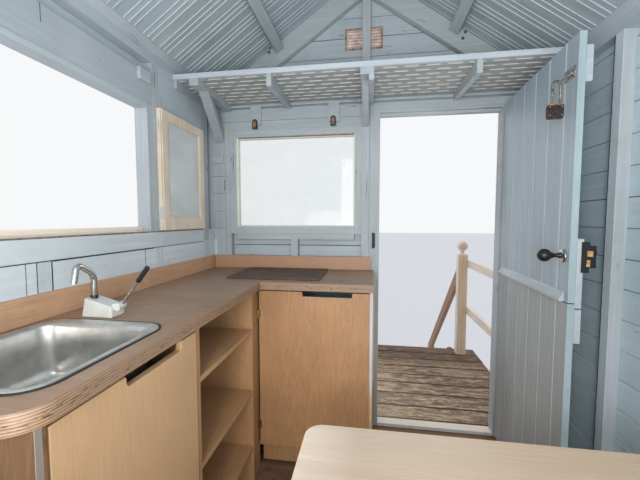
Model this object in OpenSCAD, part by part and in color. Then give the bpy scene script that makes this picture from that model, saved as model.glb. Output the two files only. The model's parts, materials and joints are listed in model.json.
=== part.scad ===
// Timber beach hut on legs: one room, front veranda with steps, fitted kitchen run,
// table, slatted shelf and a two-leaf stable door.
// Millimetres, +Z up, the door gable faces -Y. Ground is z = 0.
// Inside rel(): x across, y from the room face of the front studs, z from the room floor.

/* [Room] */
// Clear width between the side studs
room_w = 1830; // [1500:10:2400]
// Clear depth between the end studs
room_d = 2440; // [2000:10:3600]
// Square size of the wall studs
stud = 45; // [38:1:75]
// Thickness of the wall boards
board = 15; // [12:1:22]
// Height of the room floor above the ground
floor_z = 1150; // [800:10:1400]
// Underside of the side wall plates above the room floor
plate_z = 1892; // [1800:1:2100]

/* [Roof] */
// Slope of both roof faces in degrees
pitch = 35; // [25:1:45]
// Height of the side wall plates at the room face
plate_h = 47; // [40:1:120]
// Depth of the ribbed roof sheet
sheet = 28; // [20:1:40]
// Depth of the roof sheet between its ribs
pan = 12; // [8:1:18]
// Spacing of the roof ribs
rib_pitch = 106; // [90:1:150]
// Width of a roof rib
rib_w = 60; // [40:1:80]
// How far the roof runs past the wall boards at the eaves
eaves = 60; // [30:5:150]
// Roof overhang past the front boards
front_over = 120; // [60:10:300]
// Roof overhang past the back boards
back_over = 60; // [30:10:200]
// Depth of the gable rafters
rafter_h = 100; // [75:5:125]

/* [Door] */
// Clear width of the doorway
door_w = 635; // [600:5:800]
// Width of the door jambs
jamb_w = 58; // [45:1:75]
// Clear height of the doorway
door_h = 1794; // [1700:2:2000]
// Width of both door leaves
leaf_w = 660; // [650:1:700]
// Lower edge of the lower leaf above the room floor
leaf_z = 30; // [25:1:60]
// Height of the joint between the leaves above the room floor
seam_z = 932; // [850:1:1000]
// Upper edge of the upper leaf above the room floor
leaf_top = 1812; // [1795:1:1830]
// Thickness of the door boards
leaf_t = 22; // [18:1:30]
// Thickness of the ledges on the room side
ledge_t = 20; // [15:1:25]
// Angle that the door stands open in degrees
door_open = 87; // [0:1:96]
// Distance of the hinge pin from the hinge side of the doorway
pin_x = 25; // [20:1:40]
// Distance of the hinge pin from the room face of the front studs
pin_y = 30; // [25:1:40]

/* [Windows] */
// Boarded width between the stud of the front window and the corner stud
fwin_side = 34.5; // [10:0.5:160]
// Sill height of the front window
fwin_z = 1173; // [1100:1:1300]
// Clear height of the front window
fwin_h = 520; // [400:5:600]
// Width of the front window frame members
fwin_f = 44; // [30:1:50]
// Distance of the side window from the front studs
swin_y = 589; // [560:1:900]
// Clear length of the side window
swin_l = 740; // [700:10:1100]
// Sill height of the side window
swin_z = 1164; // [1100:1:1300]
// Clear height of the side window
swin_h = 508; // [400:4:600]
// Width of the side window frame members
swin_f = 37; // [30:1:50]
// Width of each casement
case_w = 370; // [300:5:500]
// Height of each casement
case_h = 544; // [400:4:620]
// Thickness of each casement
case_t = 22; // [18:1:40]
// Thickness of the window glass
glass = 6; // [4:1:8]

/* [Kitchen] */
// Height of the worktop
top_z = 925; // [850:5:960]
// Thickness of the worktop
top_t = 36; // [25:1:45]
// Depth of the worktop run under the side window
run_side = 441; // [400:1:600]
// Depth of the worktop run under the front window
run_front = 446; // [400:1:600]
// Length of the side run from the front studs
run_l = 1500; // [1300:10:1800]
// Thickness of the plywood panels
ply = 18; // [12:1:25]
// Height of the upstand behind the worktop
upstand_h = 75; // [40:5:100]
// Outside size of the sink across the worktop
sink_w = 360; // [300:5:380]
// Outside size of the sink along the worktop
sink_l = 375; // [300:5:450]
// Depth of the sink bowl
sink_d = 150; // [100:5:180]
// Height of the table top
table_z = 720; // [650:10:760]
// Width of the table from the side wall
table_w = 1035; // [800:5:1100]
// Depth of the table
table_d = 600; // [500:10:700]

/* [Veranda] */
// Depth of the deck in front of the wall boards
deck_d = 1277; // [900:1:1500]
// How far the deck runs past the side wall boards
deck_side = 35; // [0:5:120]
// Drop from the room floor to the deck
deck_drop = 20; // [10:5:60]
// Thickness of the deck boards
deck_t = 28; // [20:1:35]
// Number of risers between the ground and the deck
risers = 6; // [4:1:8]
// Going of each step
going = 205; // [180:5:280]
// Square size of the balustrade posts
post = 80; // [70:5:100]
// Height of the posts above the deck
post_h = 924; // [800:2:1100]
// Diameter of the ball finials
ball = 95; // [70:5:110]
// Height of the rails
rail_h = 64; // [45:1:100]
// Thickness of the rails
rail_t = 35; // [25:1:45]
// Height of the top rail above the room floor
rail_z = 850; // [750:10:1000]
// Height of the middle rail above the room floor
mid_z = 421; // [300:1:500]

/* [Hidden] */
hw = room_w/2;
fr = stud + board;
sideout = hw + fr;
backout = room_d + fr;
tanp = tan(pitch);
cosp = cos(pitch);
ridge_z = plate_z + plate_h + hw*tanp;
deck_w = 2*(sideout + deck_side);
deck_z = -deck_drop;
deck_y = -fr - deck_d;
riser = (floor_z - deck_drop)/risers;
slope = riser/going;
newel_y = deck_y - (risers*going + post);
post_x = hw - 46;
post_y = deck_y + 62 + post;
barge_t = 20;
wf = -(newel_y - max(0, (ball - post)/2) + backout + back_over + barge_t)/2;
head_z = 1818;
head_h = 45;
gable_z = head_z + head_h;
floor_t = 22;
skirt = 140;
joist_h = 95;
bearer_h = 120;
leg = 100;
door_off = stud/2 + jamb_w;
fwin_off = stud/2 + fwin_f;
fwin_stud = 31;
fwin_w = hw - stud - fwin_side - fwin_stud - fwin_f - fwin_off;
door_x = -door_off - door_w;
leaf_x = 8;
lap_clear = 5;
hook_gap = 0.5;
pin_at_x = door_x - pin_x;
shelf_y = 395;
shelf_z = 1884;
bearer_x = [hw - 106, fwin_off + fwin_w/2 + 25.5, -28, 439 - hw];
ledger_t = 12;
lining = 12;
batten_y = 65;
batten_w = 70;
sill_stud = swin_y + swin_l/2 + 82;
shelf_stop = 32;
front_x = -50;
cup_x = hw - run_side + 9;
cup_y = run_front - 23;
cup_z0 = 120;
cup_z1 = 880;
sink_x = hw - 35 - sink_w;
sink_y = run_l - 53 - sink_l;
tap_x = hw - 125;
tap_y = sink_y - 50;
pump_x = tap_x - 86;
pump_z = top_z + 33;
hinge_r = 4;
cup_end = run_l - 48;
cup_start = sink_y - 84;
corner_y = run_front + 54;
corner_x = cup_x + 13;
purlin_x = hw/2 + 58;
purlin_x2 = hw/2 + 24;
roof_gap = 0.2;
cap_w = 130;
rib_y = 289;
bearer_x_in = 135;
leg_y = [40, room_d/2 - leg/2, room_d + stud - leg - 25];
side_y = 487;
vent_x0 = -92;
vent_x1 = 122;
vent_z0 = ridge_z - 405;
vent_z1 = ridge_z - 283;
stair_x = -20;
string_x = stair_x - 80;
string_w = 40;
hand_z = rail_z - 151;
hand_h = 139;
table_y = 1133;
case_stile = 42;
case_foot = 62;
case_gap = 32;
fn = 48;

function under(x) = ridge_z - abs(x)*tanp;

module rel() {
    translate([0, wf, floor_z]) children();
}

module bx(x0, x1, y0, y1, z0, z1) {
    translate([x0, y0, z0]) cube([x1 - x0, y1 - y0, z1 - z0]);
}

// Outline in x and z pushed from y0 to y1
module along(y0, y1) {
    translate([0, y1, 0]) rotate([90, 0, 0]) linear_extrude(y1 - y0) children();
}

// Outline in y and z pushed from x0 to x1
module across(x0, x1) {
    translate([x0, 0, 0]) rotate([90, 0, 90]) linear_extrude(x1 - x0) children();
}

module both() {
    children();
    mirror([1, 0, 0]) children();
}

// Under the floor
module legs() {
    color("#6e655a") rel() {
        for (y = leg_y) {
            both() bx(hw - bearer_x_in - leg/2, hw - bearer_x_in + leg/2, y, y + leg,
                -floor_z, -floor_t - joist_h - bearer_h);
        }
        for (x = [-deck_w/2 + 140, 0, deck_w/2 - 140]) {
            bx(x - leg/2, x + leg/2, deck_y + 60, deck_y + 60 + leg,
                -floor_z, deck_z - deck_t - 2*joist_h);
        }
    }
}

module floor_bearers() {
    color("#7b7062") rel() both() bx(hw - bearer_x_in - 45, hw - bearer_x_in + 45, -stud, room_d + stud,
        -floor_t - joist_h - bearer_h, -floor_t - joist_h);
}

module joists() {
    color("#7b7062") rel() {
        for (i = [0:5]) {
            y = -stud + i*(room_d + stud)/5;
            bx(-hw - stud, hw + stud, y, y + stud, -floor_t - joist_h, -floor_t);
        }
        for (i = [-2:2]) {
            x = i*(deck_w/2 - 45)/2;
            bx(x - stud/2, x + stud/2, deck_y + 20, -fr,
                deck_z - deck_t - joist_h, deck_z - deck_t);
        }
    }
}

module floor() {
    color("#6b5a48") rel() bx(-hw - stud, hw + stud, -stud, room_d + stud, -floor_t, 0);
}

// Frame
module sole_plates() {
    color("#a9b8bf") rel() {
        both() bx(hw, hw + stud, -stud, room_d + stud, 0, stud);
        bx(-door_off + jamb_w, hw, -stud, 0, 0, stud);
        bx(-hw, door_x - jamb_w, -stud, 0, 0, stud);
        bx(-hw, hw, room_d, room_d + stud, 0, stud);
    }
}

module side_studs() {
    color("#a9b8bf") rel() {
        for (y = [-stud, swin_y - swin_f - stud, swin_y + swin_l + swin_f, room_d]) {
            bx(hw, hw + stud, y, y + stud, stud, plate_z);
        }
        bx(hw, hw + stud, sill_stud, sill_stud + stud, stud, swin_z - swin_f - 37);
        bx(hw, hw + stud, batten_y, batten_y + batten_w, stud, plate_z);
        bx(-hw - stud, -hw, -stud, 0, stud, plate_z);
        for (i = [0:3]) {
            y = side_y + i*(room_d - side_y)/3;
            bx(-hw - stud, -hw, y, y + stud, stud, plate_z);
        }
    }
}

module end_studs() {
    color("#a9b8bf") rel() {
        bx(hw - stud, hw, -stud, 0, stud, head_z);
        bx(fwin_off + fwin_w + fwin_f, fwin_off + fwin_w + fwin_f + fwin_stud, -stud, 0,
            stud, head_z);
        bx(hw - stud - fwin_side + hook_gap, hw - stud - hook_gap, -stud, 0, stud, head_z);
        bx(fwin_off + fwin_w/2 - stud/2, fwin_off + fwin_w/2 + stud/2, -stud, 0,
            stud, fwin_z - fwin_f);
        bx(-hw, -hw + stud, -stud, 0, stud, head_z);
        for (x = [-hw, -hw/2 - stud/2, hw/2 - stud/2, hw - stud]) {
            bx(x, x + stud, room_d, room_d + stud, stud, head_z);
        }
        for (y = [-stud, room_d]) {
            bx(-stud/2, stud/2, y, y + stud, stud, under(stud/2));
        }
    }
}

module rails() {
    color("#a9b8bf") rel() {
        for (y = [-stud, room_d]) {
            both() bx(stud/2, hw, y, y + stud, head_z, gable_z);
        }
        y0 = swin_y - swin_f;
        y1 = swin_y + swin_l + swin_f;
        z = swin_z - swin_f;
        bx(hw, hw + stud, 0, batten_y, z - 37, z);
        bx(hw, hw + stud, batten_y + batten_w, y0 - stud, z - 37, z);
        bx(hw, hw + stud, y0, y1, z - 37, z);
        bx(hw, hw + stud, y1 + stud, room_d, z - 37, z);
        bx(hw, hw + stud, y0, y1, swin_z + swin_h + swin_f, swin_z + swin_h + swin_f + 122);
        bx(hw, hw + lining, 0, batten_y, stud, z - 37);
        bx(hw, hw + lining, batten_y + batten_w, y0 - stud, stud, z - 37);
        bx(hw, hw + lining, y0, sill_stud, stud, z - 37);
        bx(hw, hw + lining, sill_stud + stud, y1, stud, z - 37);
        bx(stud/2, fwin_off + fwin_w + fwin_f, -lining, 0, fwin_z + fwin_h + fwin_f, head_z);
    }
}

module gable_rafters() {
    d = rafter_h/cosp;
    xf = (ridge_z - d - gable_z)/tanp;
    color("#a9b8bf") rel() for (y = [-stud, room_d]) {
        both() along(y, y + stud) polygon([
            [stud/2, under(stud/2) - d], [xf, gable_z], [hw, gable_z],
            [hw, under(hw)], [stud/2, under(stud/2)]]);
    }
}

// Boarded walls
module side_walls() {
    color("#b4c3ca") rel() {
        bx(-sideout, -hw - stud, -stud, room_d + stud, -skirt, plate_z);
        bx(hw + stud, sideout, -stud, swin_y - swin_f, -skirt, plate_z);
        bx(hw + stud, sideout, swin_y + swin_l + swin_f, room_d + stud, -skirt, plate_z);
    }
}

module front_wall_piers() {
    color("#b4c3ca") rel() {
        bx(fwin_off + fwin_w + fwin_f, sideout, -fr, -stud, -skirt, gable_z);
        bx(door_x - jamb_w + door_w + 2*jamb_w, fwin_off - fwin_f, -fr, -stud, -skirt, gable_z);
        bx(-sideout, door_x - jamb_w, -fr, -stud, -skirt, gable_z);
    }
}

// Boards over and under the openings
module wall_bands() {
    y0 = swin_y - swin_f;
    y1 = swin_y + swin_l + swin_f;
    x0 = fwin_off - fwin_f;
    x1 = fwin_off + fwin_w + fwin_f;
    d0 = door_x - jamb_w;
    d1 = -door_off + jamb_w;
    color("#b4c3ca") rel() {
        bx(hw + stud, sideout, y0, y1, -skirt, swin_z - swin_f);
        bx(hw + stud, sideout, y0, y1, swin_z + swin_h + swin_f, plate_z);
        bx(x0, x1, -fr, -stud, -skirt, fwin_z - fwin_f);
        bx(x0, x1, -fr, -stud, fwin_z + fwin_h + fwin_f, gable_z);
        bx(d0, d1, -fr, -stud, -skirt, 0);
        bx(d0, d1, -fr, -stud, head_z, gable_z);
    }
}

module front_gable() {
    color("#b4c3ca") rel() difference() {
        along(-fr, -stud) polygon([[-sideout, gable_z], [sideout, gable_z],
            [sideout, under(sideout)], [0, ridge_z], [-sideout, under(sideout)]]);
        bx(vent_x0, vent_x1, -fr - 5, -stud + 5, vent_z0, vent_z1);
    }
}

module back_wall() {
    color("#b4c3ca") rel() along(room_d + stud, backout) polygon([
        [-sideout, -skirt], [sideout, -skirt], [sideout, under(sideout)],
        [0, ridge_z], [-sideout, under(sideout)]]);
}

// Roof
module roof_timbers() {
    color("#a9b8bf") rel() {
        both() along(-stud, room_d + stud) polygon([
            [hw, plate_z], [hw + stud, plate_z], [hw + stud, under(hw + stud)], [hw, under(hw)]]);
        purlin(purlin_x);
        mirror([1, 0, 0]) purlin(purlin_x2);
        along(0, room_d) polygon([
            [-15, under(15) - 110], [15, under(15) - 110], [15, under(15)], [-15, under(15)]]);
    }
}

module purlin(x) {
    translate([x, 0, under(x)]) rotate([0, pitch, 0]) bx(-26, 26, 0, room_d, -47, 0);
}

module roof_strip(y0, y1, z0, z1) {
    xe = sideout + eaves;
    along(y0, y1) polygon([
        [1, under(1) + z0], [xe, under(xe) + z0], [xe, under(xe) + z1], [1, under(1) + z1]]);
}

module sheet_half() {
    y0 = -fr - front_over;
    y1 = backout + back_over;
    k0 = ceil((y0 + rib_w/2 + 4 - rib_y)/rib_pitch);
    k1 = floor((y1 - rib_w/2 - 10 - rib_y)/rib_pitch);
    roof_strip(y0, y1, roof_gap, pan/cosp);
    for (k = [k0:k1]) {
        y = rib_y + k*rib_pitch;
        roof_strip(y - rib_w/2, y + rib_w/2, roof_gap, sheet/cosp);
    }
}

module roof_sheets() {
    color("#b9c6cc") rel() both() sheet_half();
}

module ridge_cap() {
    t = sheet/cosp;
    z0 = t + roof_gap;
    z1 = t + 10;
    color("#b9c6cc") rel() along(-fr - front_over, backout + back_over) polygon([
        [-cap_w, under(cap_w) + z0], [0, ridge_z + z0], [cap_w, under(cap_w) + z0],
        [cap_w, under(cap_w) + z1], [0, ridge_z + z1], [-cap_w, under(cap_w) + z1]]);
}

module barge_boards() {
    xe = sideout + eaves;
    t = sheet/cosp;
    color("#e9e6df") rel() {
        for (y = [-fr - front_over - barge_t, backout + back_over]) {
            both() along(y, y + barge_t) polygon([
                [1, under(1) - 110], [xe, under(xe) - 110], [xe, under(xe) + t], [1, under(1) + t]]);
        }
    }
}

module gable_vent() {
    color("#9a5b44") rel() bx(vent_x0, vent_x1, -fr - 5, -stud, vent_z0, vent_z1);
}

// Doorway
module door_jambs() {
    color("#a9b8bf") rel() {
        for (x = [door_x - jamb_w, -door_off]) {
            bx(x, x + jamb_w, -fr, 0, 0, door_h);
            bx(x, x + jamb_w, -25, 0, door_h, head_z - 10);
        }
    }
}

module door_head() {
    color("#a9b8bf") rel() {
        bx(door_x - jamb_w, -door_off + jamb_w, -fr, -25, door_h, head_z);
        bx(door_x - jamb_w, -door_off + jamb_w, -25, 0, head_z - 10, head_z);
    }
}

module threshold() {
    color("#c9cdca") rel() bx(door_x, -door_off, -fr, 0, 0, 20);
}

// Door frame of reference: x along the leaf from the pin, y towards the room, closed at 0
module on_door() {
    rel() translate([pin_at_x, pin_y, 0]) rotate([0, 0, door_open]) children();
}

module door_leaf_lower() {
    color("#aebcc2") on_door() bx(leaf_x, leaf_x + leaf_w, -3 - leaf_t, -3, leaf_z, seam_z - 2);
}

module door_leaf_upper() {
    color("#aebcc2") on_door() bx(leaf_x, leaf_x + leaf_w, -3 - leaf_t, -3, seam_z + 2, leaf_top);
}

module door_ledges() {
    color("#b6c4ca") on_door() {
        x1 = leaf_x + leaf_w;
        bx(30, x1, -3, -3 + ledge_t, leaf_z + 60, leaf_z + 200);
        bx(30, x1, -3, -3 + ledge_t, seam_z - 136, seam_z - 20);
        bx(30, x1, -3, -3 + ledge_t, seam_z - 16, seam_z + 217);
        bx(30, x1, -3, -3 + ledge_t, leaf_top - 158, leaf_top - 43);
        translate([0, -3 - leaf_t, 0]) across(pin_x + lap_clear + 2, leaf_x + leaf_w - 18) polygon([
            [0, seam_z + 2], [-18, seam_z + 2], [-18, seam_z + 12], [0, seam_z + 38]]);
    }
}

module door_ironwork() {
    yo = -3 - leaf_t;
    yi = -3 + ledge_t;
    color("#3a3c3f") on_door() {
        translate([622, yo - 29, 1089]) rotate([90, 0, 0]) cylinder(d = 14, h = 58, center = true, $fn = fn);
        translate([622, yo - 56, 1089]) sphere(d = 50, $fn = fn);
        translate([626, yo, 1088]) rotate([90, 0, 0]) cylinder(d = 48, h = 5, $fn = fn);
        bx(628, 654, yo - 4, yo, 1672, 1716);
        across(630, 653) polygon([
            [yo - 3, 1692], [yo - 3, 1696], [yo - 44, 1672], [yo - 44, 1667]]);
        for (y = [yo - 54, yo - 30]) {
            translate([638, y, 1598]) cylinder(d = 7, h = 66, $fn = 24);
        }
        translate([638, yo - 42, 1664]) rotate([90, 0, 90])
            rotate_extrude(angle = 180, $fn = fn) translate([12, 0]) circle(d = 7, $fn = 24);
        bx(627, 647, yo - 68, yo - 20, 1552, 1601);
        bx(600, leaf_x + leaf_w - 1, yi, yi + 15, 1037, 1139);
        bx(606, leaf_x + leaf_w - 1, yi + 15, yi + 45, 1053, 1126);
        for (z = [leaf_z + 130, seam_z - 95, seam_z + 110, leaf_top - 95]) {
            translate([0, 0, z - 20]) cylinder(d = 14, h = 60, $fn = fn);
            bx(0, 24, -3, 1, z - 20, z + 40);
        }
    }
}

// Hooks on the hinge jamb that carry the leaves
module door_hooks() {
    color("#3a3c3f") rel() for (z = [leaf_z + 130, seam_z - 95, seam_z + 110, leaf_top - 95]) {
        z1 = z - 20 - hook_gap;
        translate([pin_at_x, pin_y, z1 - 24]) cylinder(d = 14, h = 24, $fn = fn);
        bx(pin_at_x - 7, pin_at_x - 1, 0, pin_y, z1 - 24, z1);
        bx(pin_at_x - 16, pin_at_x - 1, 0, 3, z1 - 54, z1 + 30);
    }
}

// Windows
module window_frames() {
    x0 = fwin_off;
    x1 = fwin_off + fwin_w;
    y1 = swin_y + swin_l;
    zf = fwin_z + fwin_h;
    zs = swin_z + swin_h;
    color("#a9b8bf") rel() {
        difference() {
            bx(x0 - fwin_f, x1 + fwin_f, -fr, 0, fwin_z - fwin_f, zf + fwin_f);
            bx(x0, x1, -fr - 5, 5, fwin_z, zf);
        }
        difference() {
            bx(hw, sideout, swin_y - swin_f, y1 + swin_f, swin_z - swin_f, zs + swin_f);
            bx(hw - 5, sideout + 5, swin_y, y1, swin_z, zs);
        }
    }
}

module window_glass() {
    color("#dfe9ee") rel() {
        bx(fwin_off, fwin_off + fwin_w, -38, -38 + glass, fwin_z, fwin_z + fwin_h);
        at_casements() translate([case_t/2 - glass/2, case_stile, case_foot])
            cube([glass, case_w - 2*case_stile, case_h - case_foot - case_stile]);
    }
}

module at_casements() {
    for (y = [swin_y - swin_f - case_gap - case_w, swin_y + swin_l + swin_f + case_gap]) {
        translate([hw - case_t, y, swin_z]) children();
    }
}

module casement_frames() {
    color("#d8c6b2") rel() at_casements() difference() {
        cube([case_t, case_w, case_h]);
        translate([-5, case_stile, case_foot])
            cube([case_t + 10, case_w - 2*case_stile, case_h - case_foot - case_stile]);
    }
}

// Slatted shelf over the front window
module shelf_slats() {
    color("#b9c6cc") rel() {
        bx(-hw + shelf_stop, hw, shelf_y - 20, shelf_y, shelf_z, shelf_z + 24);
        for (i = [0:7]) {
            y = 24 + i*(shelf_y - 43)/8;
            bx(-hw + shelf_stop, hw, y, y + 30, shelf_z, shelf_z + 12);
        }
    }
}

module shelf_bearers() {
    color("#a9b8bf") rel() {
        bx(bearer_x[0] - 23, bearer_x[0] + 23, ledger_t, shelf_y, shelf_z - 32, shelf_z);
        bx(hw - 14, hw, ledger_t, shelf_y - 10, shelf_z - 38, shelf_z);
        for (i = [1:3]) {
            across(bearer_x[i] - 12, bearer_x[i] + 12) polygon([
                [ledger_t, shelf_z - 32], [shelf_y, shelf_z - 58], [shelf_y, shelf_z],
                [ledger_t, shelf_z]]);
        }
        bx(bearer_x[2] + 12, bearer_x[2] + 50, ledger_t, shelf_y, shelf_z - 32, shelf_z);
        translate([bearer_x[0] + 55, 0, 0]) rotate([0, 0, 11.6]) across(-24, 24) polygon([
            [5.2, shelf_z - 213], [5.2, shelf_z - 167], [243, shelf_z - 32], [325, shelf_z - 32]]);
        across(bearer_x[2] + 12, bearer_x[2] + 43) polygon([
            [0, shelf_z - 151], [0, shelf_z - 114], [223, shelf_z - 32], [325, shelf_z - 32]]);
        bx(-hw, hw - 80, 0, ledger_t, shelf_z - 14, shelf_z);
        for (x = [fwin_off + 111.5, fwin_off + fwin_w - 122.5]) {
            bx(x - 32, x + 32, 0, ledger_t, fwin_z + fwin_h + 75, shelf_z - 14);
        }
    }
}

// Kitchen run
module top_outline() {
    xs = hw - run_side;
    r = 60;
    translate([front_x, 0]) square([hw - front_x, run_front]);
    translate([xs, 0]) square([run_side, run_l - r]);
    translate([xs + r, 0]) square([run_side - r, run_l]);
    translate([xs + r, run_l - r]) circle(r = r, $fn = fn);
}

module sink_outline(s) {
    r = 60 - s;
    translate([sink_x + s, sink_y + s]) {
        translate([r, 0]) square([sink_w - 2*s - 2*r, sink_l - 2*s]);
        translate([0, r]) square([sink_w - 2*s, sink_l - 2*s - 2*r]);
        for (x = [r, sink_w - 2*s - r]) {
            for (y = [r, sink_l - 2*s - r]) {
                translate([x, y]) circle(r = r, $fn = fn);
            }
        }
    }
}

module worktop() {
    color("#b18f68") rel() difference() {
        translate([0, 0, top_z - top_t]) linear_extrude(top_t) top_outline();
        translate([0, 0, top_z - top_t - 5]) linear_extrude(top_t + 10) sink_outline(14);
    }
}

module upstand() {
    color("#b18f68") rel() translate([0, 0, top_z]) linear_extrude(upstand_h) polygon([
        [front_x + 15, 0], [hw, 0], [hw, run_l - 40], [hw - 15, run_l - 40],
        [hw - 15, 15], [front_x + 15, 15]]);
}

module sink() {
    color("#c4c6c6") rel() difference() {
        union() {
            translate([0, 0, top_z]) linear_extrude(3) sink_outline(0);
            translate([0, 0, top_z - sink_d]) linear_extrude(sink_d) sink_outline(18);
        }
        translate([0, 0, top_z - sink_d + 4]) linear_extrude(sink_d + 10) sink_outline(22);
    }
}

module hob_lid() {
    color("#5f4634") rel() bx(hw - 710, hw - 250, 50, run_front - 66, top_z, top_z + 9);
}

module tap() {
    color("#e8e8e6") rel() translate([tap_x, tap_y, top_z]) {
        along(-24, 24) polygon([
            [23, 0], [-76, 0], [-76, 34], [12, 58]]);
        both_cheeks() bx(-94, -70, 12.5, 18.5, 20, 44);
        translate([0, 4, 40]) cylinder(d = 20, h = 22, $fn = fn);
        translate([0, 4, 62]) cylinder(d = 16, h = 60, $fn = fn);
        translate([0, 4 + 35, 122]) rotate([90, 0, -90])
            rotate_extrude(angle = 180, $fn = fn) translate([35, 0]) circle(d = 16, $fn = 24);
        translate([0, 74, 108]) cylinder(d = 16, h = 14, $fn = fn);
    }
}

module both_cheeks() {
    children();
    mirror([0, 1, 0]) children();
}

module tap_lever() {
    color("#2e2e2e") rel() translate([pump_x, tap_y, pump_z]) {
        rotate([90, 0, 0]) cylinder(d = 16, h = 24, center = true, $fn = fn);
        rotate([0, -37.8, 0]) {
            cylinder(d = 8, h = 95, $fn = fn);
            translate([0, 0, 92]) cylinder(d = 15, h = 56, $fn = fn);
        }
    }
}

module kitchen_panels() {
    z1 = top_z - top_t;
    color("#c49a6c") rel() {
        bx(cup_x, hw, cup_end, cup_end + ply, 0, z1);
        bx(cup_x + 4, hw, cup_start - ply, cup_start, 0, z1);
        bx(cup_x + 4, hw, corner_y, corner_y + ply, 0, z1);
        bx(corner_x, corner_x + ply, cup_y - ply, corner_y, 0, z1);
        bx(front_x + 4, front_x + 4 + ply, 14, cup_y - ply - 4, 0, z1);
        bx(cup_x + 70, cup_x + 70 + ply, cup_start, cup_end, 0, 110);
        bx(front_x + 4 + ply, corner_x, cup_y - 90, cup_y - 72, 0, 110);
    }
}

module kitchen_shelves() {
    color("#c49a6c") rel() {
        for (z = [188, 447, 727]) {
            bx(cup_x + 6, hw, corner_y + ply, cup_start - ply, z - ply, z);
        }
        bx(cup_x + ply + 4, hw, cup_start, cup_end, 110, 110 + ply);
        bx(front_x + 4 + ply, hw, 14, cup_y - ply - 4, 110, 110 + ply);
    }
}

module sink_cupboard_door() {
    px = cup_x - hinge_r;
    py = cup_end - 2.5;
    color("#bf9263") rel() {
        difference() {
            bx(cup_x, cup_x + ply, cup_start + 8, cup_end - 5, cup_z0, cup_z1);
            bx(cup_x - 5, cup_x + ply + 5, cup_start + 83, cup_start + 289,
                cup_z1 - 25, cup_z1 + 5);
        }
        for (z = [cup_z0 + 90, cup_z1 - 130]) {
            translate([px, py, z]) cylinder(r = hinge_r, h = 40, $fn = fn);
            bx(px, cup_x, py - 12, py, z, z + 40);
        }
    }
}

module front_cupboard_door() {
    x1 = corner_x - hook_gap - 2*hinge_r;
    px = corner_x - hook_gap - hinge_r;
    py = cup_y + hinge_r;
    color("#bf9263") rel() {
        difference() {
            bx(front_x + 22, x1, cup_y - ply, cup_y, cup_z0 + 10, cup_z1);
            bx(front_x + 100, front_x + 330, cup_y - ply - 5, cup_y + 5,
                cup_z1 - 25, cup_z1 + 5);
        }
        for (z = [cup_z0 + 90, cup_z1 - 130]) {
            translate([px, py, z]) cylinder(r = hinge_r, h = 40, $fn = fn);
            bx(px - 12, px, cup_y, py, z, z + 40);
        }
    }
}

// Table
module table_top() {
    x1 = -hw + table_w;
    r = 40;
    y0 = table_y;
    color("#d8c3a2") rel() translate([0, 0, table_z - 25]) linear_extrude(25) {
        translate([-hw, y0]) square([table_w - r, table_d]);
        translate([-hw, y0 + r]) square([table_w, table_d - 2*r]);
        for (y = [y0 + r, y0 + table_d - r]) {
            translate([x1 - r, y]) circle(r = r, $fn = fn);
        }
    }
}

module table_legs() {
    x1 = -hw + table_w;
    color("#c8b290") rel() {
        for (y = [table_y + 55, table_y + table_d - 100]) {
            bx(x1 - 130, x1 - 85, y, y + 45, 0, table_z - 25);
        }
        bx(-hw, -hw + 25, table_y + 27, table_y + table_d - 27, table_z - 70, table_z - 25);
    }
}

// Veranda
module deck_boards() {
    color("#8d7f6e") rel() bx(-deck_w/2, deck_w/2, deck_y, -fr, deck_z - deck_t, deck_z);
}

module deck_beams() {
    z1 = deck_z - deck_t - joist_h;
    color("#7b7062") rel() {
        bx(-deck_w/2 + 10, deck_w/2 - 10, deck_y + 60, deck_y + 60 + leg, z1 - joist_h, z1);
        bx(-deck_w/2 + 10, deck_w/2 - 10, -2*stud, -stud, z1 - joist_h, z1);
    }
}

module post_at(x, y, z0, z1, finial) {
    bx(x - post/2, x + post/2, y, y + post, z0, z1);
    if (finial) {
        translate([x, y + post/2, z1]) cylinder(d = 40, h = 30, $fn = fn);
        translate([x, y + post/2, z1 + 25 + ball/2]) sphere(d = ball, $fn = fn);
    }
}

module balustrade_posts() {
    z1 = deck_z + post_h;
    color("#efeee9") rel() {
        for (x = [-post_x, stair_x, post_x]) {
            post_at(x, post_y - post, deck_z, z1, true);
        }
        for (x = [-post_x, post_x]) {
            post_at(x, -fr - post, deck_z, z1, false);
        }
        for (x = [-post_x, stair_x]) {
            post_at(x, newel_y, -floor_z, hand_z - risers*riser + 46, true);
        }
    }
}

module balustrade_rails() {
    xo = post_x + post/2;
    yf = post_y - post;
    d0 = deck_y - yf;
    y1 = newel_y + post;
    d1 = deck_y - y1;
    z0 = hand_z - slope*d0;
    z1 = hand_z - slope*d1;
    color("#efeee9") rel() {
        for (z = [rail_z, mid_z]) {
            both() bx(xo, xo + rail_t, yf, -fr, z - rail_h, z);
            bx(stair_x - post/2, xo, yf - rail_t, yf, z - rail_h, z);
        }
        for (x = [-post_x + post/2 - rail_t, stair_x - post/2]) {
            across(x, x + rail_t) polygon([
                [yf, z0], [yf, z0 - hand_h], [y1, z1 - hand_h], [y1, z1]]);
        }
    }
}

module step_strings() {
    run0 = deck_y;
    e = (floor_z + 10)/slope;
    b = (floor_z - 330)/slope;
    color("#8d7f6e") rel() for (x = [-post_x + post/2, string_x]) {
        across(x, x + string_w) polygon([
            [run0, deck_z], [run0, -330], [run0 - b, -floor_z], [run0 - e, -floor_z],
            [run0 - (10 + deck_drop)/slope, deck_z]]);
    }
}

module step_treads() {
    color("#8d7f6e") rel() for (i = [1:risers - 1]) {
        y = deck_y - going*i;
        z = deck_z - riser*i;
        bx(-post_x + post/2 + string_w, string_x, y, y + going, z - 35, z);
    }
}

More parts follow.
